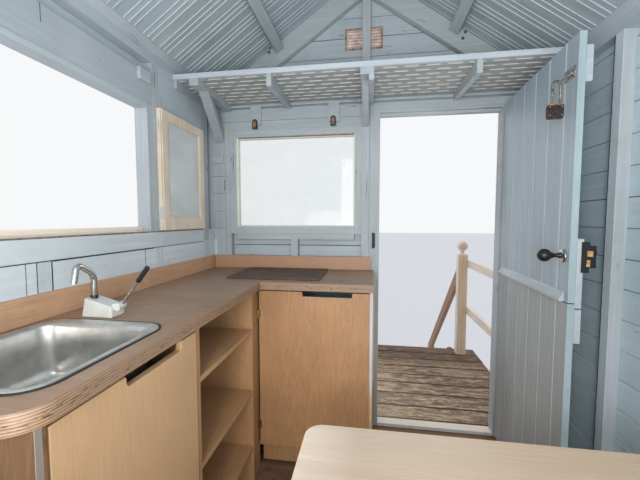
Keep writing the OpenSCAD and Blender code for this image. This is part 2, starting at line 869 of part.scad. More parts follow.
legs();
floor_bearers();
joists();
floor();
sole_plates();
side_studs();
end_studs();
rails();
gable_rafters();
side_walls();
wall_bands();
front_wall_piers();
front_gable();
back_wall();
roof_timbers();
roof_sheets();
ridge_cap();
barge_boards();
gable_vent();
door_jambs();
door_head();
threshold();
door_leaf_lower();
door_leaf_upper();
door_ledges();
door_ironwork();
door_hooks();
window_frames();
window_glass();
casement_frames();
shelf_slats();
shelf_bearers();
worktop();
upstand();
sink();
hob_lid();
tap();
tap_lever();
kitchen_panels();
kitchen_shelves();
sink_cupboard_door();
front_cupboard_door();
table_top();
table_legs();
deck_boards();
deck_beams();
balustrade_posts();
balustrade_rails();
step_strings();
step_treads();
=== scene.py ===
# Looks of the beach hut. Sizes are millimetres of the room: x across, y from the room face of
# the front studs, z from the room floor. Places inside materials are metres of the frame.
import json
import math
import random

import bpy
import bmesh
from mathutils import Matrix, Vector

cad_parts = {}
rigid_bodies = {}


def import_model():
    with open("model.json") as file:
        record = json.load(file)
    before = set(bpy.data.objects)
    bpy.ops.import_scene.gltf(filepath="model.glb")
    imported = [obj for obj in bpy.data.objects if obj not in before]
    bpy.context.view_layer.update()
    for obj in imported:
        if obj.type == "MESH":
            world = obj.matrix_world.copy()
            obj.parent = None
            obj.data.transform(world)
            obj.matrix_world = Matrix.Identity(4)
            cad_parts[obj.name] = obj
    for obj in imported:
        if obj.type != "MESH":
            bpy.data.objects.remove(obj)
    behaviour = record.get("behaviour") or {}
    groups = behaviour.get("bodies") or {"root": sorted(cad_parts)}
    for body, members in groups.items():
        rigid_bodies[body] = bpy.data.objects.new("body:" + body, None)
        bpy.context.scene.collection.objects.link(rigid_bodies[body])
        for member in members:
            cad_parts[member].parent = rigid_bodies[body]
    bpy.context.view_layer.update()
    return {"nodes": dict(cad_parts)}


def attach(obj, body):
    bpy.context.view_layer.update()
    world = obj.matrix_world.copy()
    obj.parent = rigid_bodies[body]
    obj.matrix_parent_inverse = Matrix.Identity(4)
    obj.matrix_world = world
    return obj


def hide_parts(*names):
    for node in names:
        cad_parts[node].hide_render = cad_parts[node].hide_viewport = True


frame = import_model()
rnd = random.Random(7)
X, Y, Z = range(3)

# Room, walls and roof
HALF = 915.0
DEPTH = 2440.0
STUD = 45.0
BOARD = 15.0
WALL = STUD + BOARD
OUT = HALF + WALL
FOOT = -140.0
PLATE = 1892.0
RIDGE = 2579.69
TAN = math.tan(math.radians(35))
COS = math.cos(math.radians(35))
STUD_FACE_Y = 37.25
FLOOR_Z = 1150.0

# Openings in the walls: from, to, foot, head
DOORWAY = (-773.5, -22.5, -1.0, 1818.0)
FRONT_WINDOW = (22.5, 804.5, 1129.0, 1737.0)
SIDE_WINDOW = (552.0, 1366.0, 1127.0, 1709.0)
VENT = (-92.0, 122.0, 2174.7, 2296.7)

# The stable door has its own millimetres: x along the leaf from the hinge pin, y towards the room
DOOR = Matrix.Translation((-740.5, 30, 0)) @ Matrix.Rotation(math.radians(87), 4, "Z")
OUTER, INNER = -25.0, 17.0
LEAF_T = 22.0


def to_frame(p):
    return (p[0] / 1000, (p[1] + STUD_FACE_Y) / 1000, (p[2] + FLOOR_Z) / 1000)


def under_roof(x):
    return RIDGE - abs(x) * TAN


def turn(first, last, steps):
    """Angles in radians from first to last degrees, both included."""
    return [math.radians(first + (last - first) * k / steps) for k in range(steps + 1)]


# Shapes
class Shape:
    """Faces of one piece, each with a material index, a tone and a smooth or flat look."""

    def __init__(self):
        self.verts, self.faces, self.mats, self.tones, self.smooth = [], [], [], [], []

    def add(self, verts, faces, mat=0, tone=0.0, smooth=False):
        base = len(self.verts)
        self.verts += [tuple(p) for p in verts]
        for face in faces:
            self.faces.append([base + i for i in face])
            self.mats.append(mat)
            self.tones.append(tone)
            self.smooth.append(smooth)

    def rings(self, rings, mat=0, tone=0.0, smooth=False, loop=False):
        """A skin over rings of points, closed by flat ends or, as a loop, by its first ring."""
        n, count = len(rings[0]), len(rings)
        total = n * count
        sides = []
        for a in range(count if loop else count - 1):
            b = (a + 1) % count
            for i in range(n):
                j = (i + 1) % n
                sides.append([a * n + i, a * n + j, b * n + j, b * n + i])
        self.add([p for r in rings for p in r], sides, mat, tone, smooth)
        if not loop:
            ends = [[i - total for i in range(n)][::-1], [i - n for i in range(n)]]
            self.add([], ends, mat, tone)

    def box(self, x0, x1, y0, y1, z0, z1, mat=0, tone=0.0):
        self.rings([[(x0, y0, z), (x1, y0, z), (x1, y1, z), (x0, y1, z)] for z in (z0, z1)], mat, tone)

    def lathe(self, profile, at, axis="z", mat=0, n=32):
        """A profile of radius and height turned about an axis; open ends run in to the axis."""
        ends = [[(0.05, h)] if r > 0.1 else [] for r, h in (profile[0], profile[-1])]
        rings = []
        for r, h in ends[0] + list(profile) + ends[1]:
            ring = []
            for k in range(n):
                a = 2 * math.pi * k / n
                c, s = r * math.cos(a), r * math.sin(a)
                off = {"z": (c, s, h), "y": (c, h, s), "x": (h, c, s)}[axis]
                ring.append(tuple(at[i] + off[i] for i in range(3)))
            rings.append(ring)
        self.rings(rings, mat, smooth=True)

    def tube(self, path, r, n):
        pts = [Vector(p) for p in path]
        first = (pts[1] - pts[0]).normalized()
        side = first.cross(Vector((1, 0, 0)) if abs(first.z) > 0.9 else Vector((0, 0, 1))).normalized()
        rings = []
        for k, p in enumerate(pts):
            d = (pts[min(k + 1, len(pts) - 1)] - pts[max(k - 1, 0)]).normalized()
            side = (side - d * side.dot(d)).normalized()
            up = d.cross(side)
            rings.append([tuple(p + side * r * math.cos(a) + up * r * math.sin(a))
                          for a in (2 * math.pi * i / n for i in range(n))])
        self.rings(rings, smooth=True)


def rounded_path(points, radius, steps):
    """A path through points with its inner corners rounded."""
    pts = [Vector(p) for p in points]
    out = [pts[0]]
    for a, b, c in zip(pts, pts[1:], pts[2:]):
        u, v = (a - b).normalized(), (c - b).normalized()
        r = min(radius, (a - b).length / 2, (c - b).length / 2)
        for i in range(steps + 1):
            t = i / steps
            out.append((b + u * r) * (1 - t) ** 2 + b * 2 * t * (1 - t) + (b + v * r) * t ** 2)
    return out + [pts[-1]]


def soften(o, width, angle, segs=2):
    b = o.modifiers.new("edges", "BEVEL")
    b.width, b.segments, b.limit_method = width / 1000, segs, "ANGLE"
    b.angle_limit = math.radians(angle)
    b.use_clamp_overlap = True
    return b


def make(name, shape, mats, bevel=0.0, body="hut", place=None, segs=2):
    """A visible piece that rides on a body, with the names of its materials."""
    me = bpy.data.meshes.new(name)
    pts = [place @ Vector(p) for p in shape.verts] if place else shape.verts
    me.from_pydata([to_frame(p) for p in pts], [], shape.faces)
    for m in mats.split():
        me.materials.append(M[m])
    me.polygons.foreach_set("material_index", shape.mats)
    me.polygons.foreach_set("use_smooth", shape.smooth)
    me.attributes.new("tone", "FLOAT", "FACE").data.foreach_set("value", shape.tones)
    bm = bmesh.new()
    bm.from_mesh(me)
    bmesh.ops.recalc_face_normals(bm, faces=bm.faces)
    bm.to_mesh(me)
    bm.free()
    me.validate()
    o = bpy.data.objects.new(name, me)
    bpy.context.scene.collection.objects.link(o)
    if bevel:
        soften(o, bevel, 40, segs).harden_normals = True
    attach(o, body)


def blocks(name, mats, slot, bevel, *boxes):
    """A piece of plain boxes, each x0, x1, y0, y1, z0, z1 and, where it isn't 0, its material."""
    s = Shape()
    for box in boxes:
        s.box(*box)
    make(name, s, mats, bevel)


# Materials
# Where a finish changes, in metres of the frame, and how squarely a face looks along an axis
SIDE_WALLS = 0.899
SIDE_FACE = 0.9
APRON_FOOT = 2.245
FACES = 0.6


def lin(rgb):
    """A screen colour of 0 to 255 as linear light."""
    c = [v / 255 for v in rgb]
    return tuple(v / 12.92 if v <= 0.04045 else ((v + 0.055) / 1.055) ** 2.4 for v in c) + (1.0,)


def shade(rgb, times=1.0, plus=0.0):
    """A screen colour made lighter or darker."""
    return tuple(max(0, min(255, v * times + plus)) for v in rgb)


class Mat:
    """A material under construction. Colours are screen colours, masks run from 0 to 1."""

    def __init__(self, name, rough=0.5, metal=0.0):
        self.material = bpy.data.materials.new(name)
        self.material.use_nodes = True
        self.tree = self.material.node_tree
        self.shader = self.tree.nodes["Principled BSDF"]
        self.shader.inputs["Roughness"].default_value = rough
        self.shader.inputs["Metallic"].default_value = metal
        self.co = self.new("TexCoord").outputs["Object"]

    def new(self, kind):
        return self.tree.nodes.new("ShaderNode" + kind)

    def put(self, sock, val):
        """Sets a socket to a number or a screen colour, or links a node's output to it."""
        if isinstance(val, (int, float)):
            sock.default_value = val
        elif isinstance(val, tuple):
            sock.default_value = lin(val)
        else:
            self.tree.links.new(val, sock)

    def stretch(self, scale, shift=(0, 0, 0)):
        n = self.new("Mapping")
        self.put(n.inputs["Vector"], self.co)
        n.inputs["Scale"].default_value = scale
        n.inputs["Location"].default_value = shift
        return n.outputs["Vector"]

    def grain(self, axis, slow, fast, shift=(0, 0, 0)):
        """Coordinates drawn out along an axis; "r" is x on end walls and y on side walls."""
        if axis != "r":
            return self.stretch(tuple(slow if k == axis else fast for k in "xyz"), shift)
        n = self.new("Mix")
        n.data_type = "VECTOR"
        self.put(n.inputs[0], self.above(self.math("ABSOLUTE", self.along(X)), SIDE_WALLS))
        self.put(n.inputs[4], self.grain("x", slow, fast, shift))
        self.put(n.inputs[5], self.grain("y", slow, fast, shift))
        return n.outputs[1]

    def noise(self, vec, detail, rough=0.5, dist=0.0, scale=1.0):
        n = self.new("TexNoise")
        self.put(n.inputs["Vector"], vec)
        for k, v in (("Scale", scale), ("Detail", detail), ("Roughness", rough), ("Distortion", dist)):
            n.inputs[k].default_value = v
        return n.outputs["Fac"]

    def fibre(self, axis, slow, fast, detail, rough=0.5, dist=0.0):
        return self.noise(self.grain(axis, slow, fast), detail, rough, dist)

    def blots(self, scale, detail, rough=0.5, dist=0.0):
        return self.noise(self.co, detail, rough, dist, scale)

    def cells(self, vec):
        n = self.new("TexVoronoi")
        self.put(n.inputs["Vector"], vec)
        n.inputs["Scale"].default_value = 1.0
        return n.outputs["Distance"]

    def ramp(self, fac, *stops):
        n = self.new("ValToRGB")
        e = n.color_ramp.elements
        while len(e) > 1:
            e.remove(e[-1])
        for k, (pos, col) in enumerate(stops):
            el = e[0] if k == 0 else e.new(pos)
            el.position = pos
            el.color = lin(col) if isinstance(col, tuple) else (col, col, col, 1)
        self.put(n.inputs["Fac"], fac)
        return n.outputs["Color"]

    def rise(self, fac, lo, hi, top=1.0):
        return self.ramp(fac, (lo, 0.0), (hi, top))

    def fall(self, fac, lo, hi, top=1.0):
        return self.ramp(fac, (lo, top), (hi, 0.0))

    def mix(self, fac, a, b):
        n = self.new("Mix")
        n.data_type = "RGBA"
        self.put(n.inputs[0], fac)
        self.put(n.inputs[6], a)
        self.put(n.inputs[7], b)
        return n.outputs[2]

    def blend(self, fac, a, b, lo=0.36, hi=0.66):
        return self.mix(self.rise(fac, lo, hi), a, b)

    def over(self, under, color, mask, amount):
        return self.mix(self.mul(mask, amount), under, color)

    def math(self, op, a, b=0.0):
        n = self.new("Math")
        n.operation = op
        for sock, val in zip(n.inputs, (a, b, 0.0)):
            self.put(sock, val)
        return n.outputs[0]

    def mul(self, a, b):
        return self.math("MULTIPLY", a, b)

    def add(self, a, b):
        return self.math("ADD", a, b)

    def sub(self, a, b):
        return self.math("SUBTRACT", a, b)

    def above(self, a, b):
        return self.math("GREATER_THAN", a, b)

    def below(self, a, b):
        return self.math("LESS_THAN", a, b)

    def toned(self, color, light, dark, amount):
        """Each board a little lighter or darker, by the tone that its faces carry."""
        n = self.new("Attribute")
        n.attribute_name = "tone"
        tone = n.outputs["Fac"]
        color = self.over(color, light, self.math("MAXIMUM", tone), amount)
        return self.over(color, dark, self.math("MAXIMUM", self.mul(tone, -1.0)), amount)

    def part_of(self, vec, axis):
        n = self.new("SeparateXYZ")
        self.put(n.inputs[0], vec)
        return n.outputs[axis]

    def along(self, axis):
        return self.part_of(self.co, axis)

    def toward(self, axis):
        return self.part_of(self.new("NewGeometry").outputs["Normal"], axis)

    def facing(self, axis):
        return self.math("ABSOLUTE", self.toward(axis))

    def done(self, color, relief=None, strength=0.3, depth=0.001, sheen=None):
        """Sets colour, bump and, from a mask with its spread and low end, the roughness."""
        self.put(self.shader.inputs["Base Color"], color)
        if sheen:
            mask, spread, low = sheen
            self.put(self.shader.inputs["Roughness"], self.add(self.mul(mask, spread), low))
        if relief is not None:
            n = self.new("Bump")
            n.inputs["Strength"].default_value = strength
            n.inputs["Distance"].default_value = depth
            self.put(n.inputs["Height"], relief)
            self.put(self.shader.inputs["Normal"], n.outputs["Normal"])
        return self.material


def paint(name, rgb, axis, wear=0.5, crack=0.5, rough=0.55, painted_light=None):
    """Old satin paint: brush streaks, soft stains, hairline cracks and small chips.

    The paler colour given last is painted light where the doorway's light falls: on uprights under the side
    window and on faces that look across on the door's side.
    """
    m = Mat(name, rough)
    base, light, dark = (shade(rgb, 1, d) for d in (0, 9, -15))
    if painted_light:
        low = m.mul(m.above(m.along(X), SIDE_FACE), m.below(m.along(Z), APRON_FOOT))
        inner = m.mul(m.below(m.along(X), -SIDE_FACE), m.above(m.facing(X), FACES))
        here = m.math("MAXIMUM", low, inner)
        base, light, dark = (m.mix(here, old, shade(painted_light, 1, d))
                             for old, d in ((base, 0), (light, 9), (dark, -10)))
    streak = m.fibre(axis, 2.5, 55, 4, 0.6)
    fine = m.fibre(axis, 14, 260, 3, 0.6)
    c = m.blend(m.blots(2.1, 4, 0.55, 0.4), dark, base, 0.3, 0.7)
    c = m.mix(m.rise(streak, 0.45, 0.72, 0.7), c, light)
    c = m.toned(c, light, dark, 0.5)
    dirt = m.rise(m.blots(6.5, 6, 0.7), 0.55, 0.78)
    c = m.over(c, (118, 118, 108), dirt, 0.35 * wear)
    veins = m.noise(m.grain(axis, 1.1, 21, (3.1, 7.7, 1.9)), 3)
    line = m.math("ABSOLUTE", m.sub(veins, 0.5))
    split = m.mul(m.fall(line, 0.0, 0.006 * max(crack, 0.05)), m.rise(m.blots(3.3, 3), 0.56, 0.62))
    c = m.over(c, (52, 52, 48), split, min(1.0, crack * 1.4))
    edge = 0.735 - 0.05 * wear
    chip = m.rise(m.fibre(axis, 16, 48, 6, 0.72), edge, edge + 0.015)
    c = m.over(c, (120, 108, 92), chip, 0.75 * min(1.0, wear + 0.2))
    relief = m.add(m.mul(streak, 0.6), m.mul(fine, 0.4))
    relief = m.sub(relief, m.mul(split, 1.6))
    relief = m.sub(relief, m.mul(chip, 0.5))
    return m.done(c, relief, 0.35, 0.0014, (fine, 0.16, rough - 0.08))


def plywood(name, rgb, axis, dark=0.78, strong=1.0, rough=0.42, swirl=2.2, pore=0.4, front=None):
    """Rotary cut veneer under varnish: broad figure, short dark pores, slow colour drift.

    front is the colour of what stands against the front wall.
    """
    m = Mat(name, rough)
    rings = m.math("FRACT", m.mul(m.fibre(axis, 0.8, 7, 3, 0.55, swirl), 9.0))
    figure = m.ramp(rings, (0.0, 0.0), (0.35, 0.6), (0.8, 1.0), (1.0, 0.0))
    drift = m.blots(2.6, 3, 0.5, 0.5)
    fibre = m.fibre(axis, 9, 330, 4, 0.65)
    pores = m.rise(m.fibre(axis, 30, 700, 2), 0.62, 0.7)
    c = m.over(rgb, shade(rgb, dark), figure, 0.42 * strong)
    c = m.over(c, shade(rgb, 1.09), m.rise(fibre, 0.35, 0.7), 0.45)
    c = m.over(c, shade(rgb, 0.7), m.fall(drift, 0.38, 0.62), 0.32 * strong)
    c = m.over(c, shade(rgb, 0.5), pores, pore)
    c = m.over(c, shade(rgb, 0.45), m.rise(m.blots(17, 6, 0.7), 0.66, 0.74), 0.25)
    if front:
        c = m.over(c, front, m.fall(m.along(Y), 0.075, 0.12), 0.75)
    relief = m.add(m.mul(fibre, 0.5), m.mul(pores, -0.5))
    return m.done(c, relief, 0.18, 0.0007, (drift, 0.25, rough - 0.1))


def deck_wear_and_light(m, c):
    """Bleached flecks and dull patches, painted shade in the gaps between planks, a painted shady side, a
    pale sunny side and a dark far end.
    """
    x, y = m.along(X), m.along(Y)
    flecks = m.rise(m.noise(m.stretch((11, 42, 42)), 5, 0.7), 0.48, 0.57)
    c = m.over(c, (222, 196, 170), flecks, 0.9)
    dull_and_shaded = m.rise(m.noise(m.stretch((9, 36, 36), (5, 2, 1)), 5, 0.7), 0.5, 0.58)
    c = m.over(c, (74, 58, 46), dull_and_shaded, 0.85)
    # Plank sides are painted near black: painted shade in the gaps.
    gap_shade = m.mul(m.above(m.facing(Y), FACES), m.above(y, -1.29))
    c = m.mix(gap_shade, c, (48, 38, 32))
    shady = m.add(m.mul(x, -1.2), m.mul(y, -0.55))
    c = m.over(c, (96, 78, 64), m.rise(shady, 0.35, 1.0), 0.5)
    sunny = m.add(m.add(m.mul(x, 1.2), m.mul(y, 0.55)), 1.0)
    c = m.over(c, (214, 190, 162), m.rise(sunny, 0.1, 0.8), 0.4)
    return m.over(c, (82, 64, 50), m.rise(m.mul(y, -1.0), 0.85, 1.0), 0.5)


def old_timber(name, rgb, axis, contrast=1.0, rough=0.8, deck=False):
    """Bare weathered boards: split grain, grey bloom, dark stains and knots."""
    m = Mat(name, rough)
    deep, pale = shade(rgb, 0.52), shade(rgb, 1.28, 8)
    grain = m.fibre(axis, 3.2, 85, 6, 0.68, 0.4)
    broad = m.fibre(axis, 1.6, 9, 4, 0.6, 0.8)
    fine = m.fibre(axis, 18, 420, 4, 0.6)
    c = m.blend(grain, deep, rgb, 0.34, 0.62)
    c = m.over(c, pale, m.rise(broad, 0.45, 0.68), 0.75 * contrast)
    c = m.toned(c, pale, deep, 0.6)
    c = m.over(c, (38, 30, 24), m.rise(m.blots(7.0, 6, 0.72), 0.55, 0.7), 0.55 * contrast)
    c = m.over(c, (34, 25, 20), m.fall(m.cells(m.grain(axis, 3.2, 7.5)), 0.03, 0.09), 0.7)
    if deck:
        c = deck_wear_and_light(m, c)
    return m.done(c, m.add(m.mul(grain, 0.7), m.mul(fine, 0.3)), 0.7, 0.003)


def plain(name, rgb, rough=0.5, metal=0.0, vary=0.12, scale=30.0, bump=0.1):
    """A small fitting: its colour drifts and its sheen is broken by handling marks."""
    m = Mat(name, rough, metal)
    marks = m.blots(scale * 6, 3, 0.6)
    c = m.blend(m.blots(scale, 5, 0.6), shade(rgb, 1 - vary), shade(rgb, 1 + vary), 0.35, 0.7)
    return m.done(c, marks, bump, 0.0006, (marks, 0.2, rough - 0.1))


def steel(name, rough, rgb, brush=(60, 3, 3)):
    m = Mat(name, rough, 1.0)
    lines = m.noise(m.stretch(brush), 4, 0.6, scale=18.0)
    c = m.blend(m.blots(22.0, 5, 0.65), shade(rgb, 0.86), rgb, 0.35, 0.7)
    return m.done(c, lines, 0.05, 0.0004, (lines, 0.14, rough - 0.07))


def worktop_material():
    """Worn veneer, with glued plies and dark voids on the edges."""
    m = Mat("worktop_veneer", 0.4)
    y, z = m.along(Y), m.along(Z)
    fibre = m.noise(m.stretch((7, 150, 90)), 5, 0.65, 0.3)
    figure = m.noise(m.stretch((1.4, 9, 5)), 4, 0.55, 1.6)
    c = m.blend(figure, (138, 108, 86), (166, 134, 110), 0.3)
    c = m.over(c, (188, 160, 138), m.rise(fibre, 0.4, 0.72), 0.5)
    worn = m.rise(m.blots(4.0, 5, 0.65), 0.5, 0.72)
    c = m.over(c, (172, 152, 138), worn, 0.45)
    ply, middle = 0.0052, 2.056
    light, tan, glue, brown = (170, 140, 113), (160, 131, 106), (122, 101, 84), (134, 110, 92)
    plies = m.ramp(m.math("FRACT", m.mul(z, 1 / ply)),
                   (0.0, light), (0.5, tan), (0.6, glue), (0.9, brown), (1.0, light))
    voids = m.rise(m.noise(m.stretch((46, 46, 330)), 4, 0.7), 0.53, 0.6)
    dash = m.mul(voids, m.fall(m.math("ABSOLUTE", m.sub(z, middle)), 0.006, 0.013))
    edge = m.over(plies, (58, 46, 38), dash, 0.9)
    c = m.mix(m.rise(y, 0.9, 1.0, 0.4), c, (158, 126, 102))
    c = m.mix(m.fall(y, 0.3, 0.75, 0.6), c, (128, 103, 85))
    c = m.mix(m.fall(m.facing(Z), 0.3, 0.75), c, edge)
    return m.done(c, m.sub(fibre, dash), 0.25, 0.0009, (worn, 0.25, 0.36))


def roof_material():
    """Painted sheet with pale streaks down the slope and faint rust."""
    m = Mat("roof_sheet_paint", 0.5)
    run = m.noise(m.stretch((1.6, 26, 1.6)), 4, 0.6)
    blot = m.blots(2.4, 5, 0.6)
    c = m.blend(blot, (154, 168, 175), (171, 184, 191))
    c = m.over(c, (193, 204, 210), m.rise(run, 0.45, 0.75), 0.5)
    rust = m.rise(m.blots(9.0, 7, 0.75), 0.66, 0.76)
    c = m.over(c, (138, 122, 104), rust, 0.35)
    return m.done(c, m.add(run, rust), 0.12, 0.0012, (blot, 0.2, 0.34))


def glass_material():
    """Front window panes, clear under a faint pale tint of painted reflection; the casement panes are
    mostly covered by a pale painted reflection.
    """
    m = Mat("window_glass_clear", 0.04)
    reflection_mottle = m.blots(5.0, 5, 0.6)
    casement = m.above(m.along(Y), 0.1)
    painted_reflection = m.blend(m.noise(m.stretch((3, 3, 9)), 3), (208, 216, 216), (226, 231, 231), 0.35, 0.65)
    c = m.mix(casement, m.mix(reflection_mottle, (196, 212, 216), (222, 232, 234)), painted_reflection)
    clear = m.add(m.mul(reflection_mottle, 0.16), 0.10)
    m.put(m.shader.inputs["Alpha"], m.add(clear, m.mul(casement, 0.62)))
    return m.done(c, sheen=(reflection_mottle, 0.08, 0.02))


def casement_material():
    """Bare primed wood, dotted with mould."""
    m = Mat("casement_primer", 0.55)
    fibre = m.noise(m.stretch((60, 60, 3)), 4, 0.6)
    c = m.blend(m.blots(7.0, 4, 0.6), (212, 194, 176), (222, 208, 190), 0.38, 0.62)
    c = m.over(c, (234, 224, 208), m.rise(fibre, 0.45, 0.7), 0.6)
    c = m.over(c, (88, 82, 78), m.rise(m.blots(60, 4, 0.7), 0.7, 0.76), 0.9)
    return m.done(c, fibre, 0.2, 0.001, (fibre, 0.2, 0.45))


def lid_material():
    """Dark worn board of the hob lid."""
    m = Mat("lid_board", 0.5)
    fibre = m.noise(m.stretch((5, 110, 20)), 5, 0.65, 0.4)
    spots = m.blots(8.0, 5, 0.6)
    c = m.blend(fibre, (66, 48, 38), (98, 75, 60))
    c = m.over(c, (118, 96, 80), m.rise(spots, 0.5, 0.72), 0.5)
    return m.done(c, fibre, 0.25, 0.0009, (spots, 0.2, 0.48))


def slat_material():
    """Paint on the slats, darker grey than the front rail: painted shade; their edges, seen through the
    gaps, carry broken painted highlights.
    """
    m = Mat("shelf_slats_shade_highlights", 0.6)
    fibre = m.fibre("x", 3, 60, 4, 0.6)
    c = m.blend(fibre, (140, 147, 151), (161, 168, 171), 0.38)
    dash = m.math("FRACT", m.add(m.mul(m.along(X), 1 / 0.092), m.mul(m.along(Y), 9.3)))
    dash = m.add(dash, m.mul(m.noise(m.stretch((40, 8, 8)), 2), 0.2))
    lit = m.ramp(dash, (0.24, 0.0), (0.34, 1.0), (0.92, 1.0), (1.0, 0.0))
    lit = m.mul(lit, m.fall(m.sub(m.along(Z), 3.0), 0.0385, 0.041))
    edge = m.mix(lit, (150, 151, 150), (210, 208, 202))
    c = m.mix(m.above(m.facing(Y), FACES), c, edge)
    front_rail = m.blend(fibre, (176, 186, 197), (192, 200, 208), 0.4, 0.7)
    c = m.mix(m.above(m.along(Y), 0.411), c, front_rail)
    return m.done(c, fibre)


def table_material():
    """Pale laminate with a faint fibre, warmer towards the wall."""
    m = Mat("table_laminate", 0.42)
    fibre = m.fibre("x", 6, 240, 4, 0.65)
    wave = m.fibre("x", 1.4, 16, 4, 0.6, 1.2)
    c = m.blend(m.mul(m.along(X), -1.0), (206, 183, 162), (192, 162, 130), 0.0, 0.85)
    c = m.mix(m.rise(m.along(X), 0.0, 0.12), c, (242, 223, 206))
    c = m.over(c, (192, 166, 140), m.rise(wave, 0.42, 0.6), 0.35)
    c = m.over(c, (226, 209, 190), m.rise(fibre, 0.5, 0.72), 0.4)
    c = m.over(c, (170, 140, 112), m.rise(m.fibre("x", 40, 520, 3, 0.6), 0.64, 0.72), 0.3)
    return m.done(c, fibre, 0.12, 0.0006, (fibre, 0.2, 0.32))


def post_material():
    """White veranda posts; the side towards the hut is a darker tan, painted shade."""
    m = Mat("paint_white_posts", 0.6)
    fibre = m.fibre("z", 3, 70, 5, 0.65)
    white = m.blend(fibre, (226, 216, 203), (248, 240, 229))
    dull_and_shaded = m.blend(fibre, (180, 158, 132), (202, 180, 154))
    return m.done(m.mix(m.rise(m.toward(Y), 0.45, 0.85), white, dull_and_shaded), fibre, 0.3, 0.0015)


def rail_material():
    """White rails on the veranda; the handrail of the steps is coloured brown."""
    m = Mat("rails_white_brown", 0.6)
    fibre = m.fibre("r", 3, 70, 5, 0.65)
    white = m.blend(fibre, (228, 216, 200), (252, 244, 232))
    brown = m.blend(fibre, (142, 104, 80), (182, 140, 110))
    steps = m.mul(m.below(m.along(Y), -1.238), m.below(m.along(X), -0.024))
    return m.done(m.mix(steps, white, brown), fibre, 0.3, 0.0015)


def threshold_material():
    """Threshold paint, worn to the wood in patches; painted light makes it paler on top."""
    m = Mat("threshold_worn_lit_top", 0.6)
    fibre = m.fibre("x", 3, 50, 5, 0.65)
    c = m.blend(fibre, (192, 198, 202), (216, 220, 222))
    c = m.mix(m.rise(m.blots(9.0, 5, 0.7), 0.56, 0.7), c, (170, 148, 124))
    c = m.over(c, (242, 228, 210), m.rise(m.facing(Z), 0.5, 0.9), 0.8)
    return m.done(c, fibre, 0.4, 0.002)


def strip_material():
    """White paint on the door post, with a band of painted orange reflection low down and darker grey-brown
    below it.
    """
    m = Mat("post_strip_painted_reflection", 0.6)
    fibre = m.fibre("z", 3, 60, 4, 0.6)
    c = m.blend(fibre, (198, 200, 206), (220, 220, 224), 0.4, 0.7)
    height = m.sub(m.add(m.along(Z), m.mul(fibre, 0.06)), 1.0)
    c = m.mix(m.fall(height, 0.55, 0.62), c, (222, 186, 142))
    c = m.mix(m.fall(height, 0.40, 0.47), c, (168, 150, 134))
    return m.done(c, fibre)


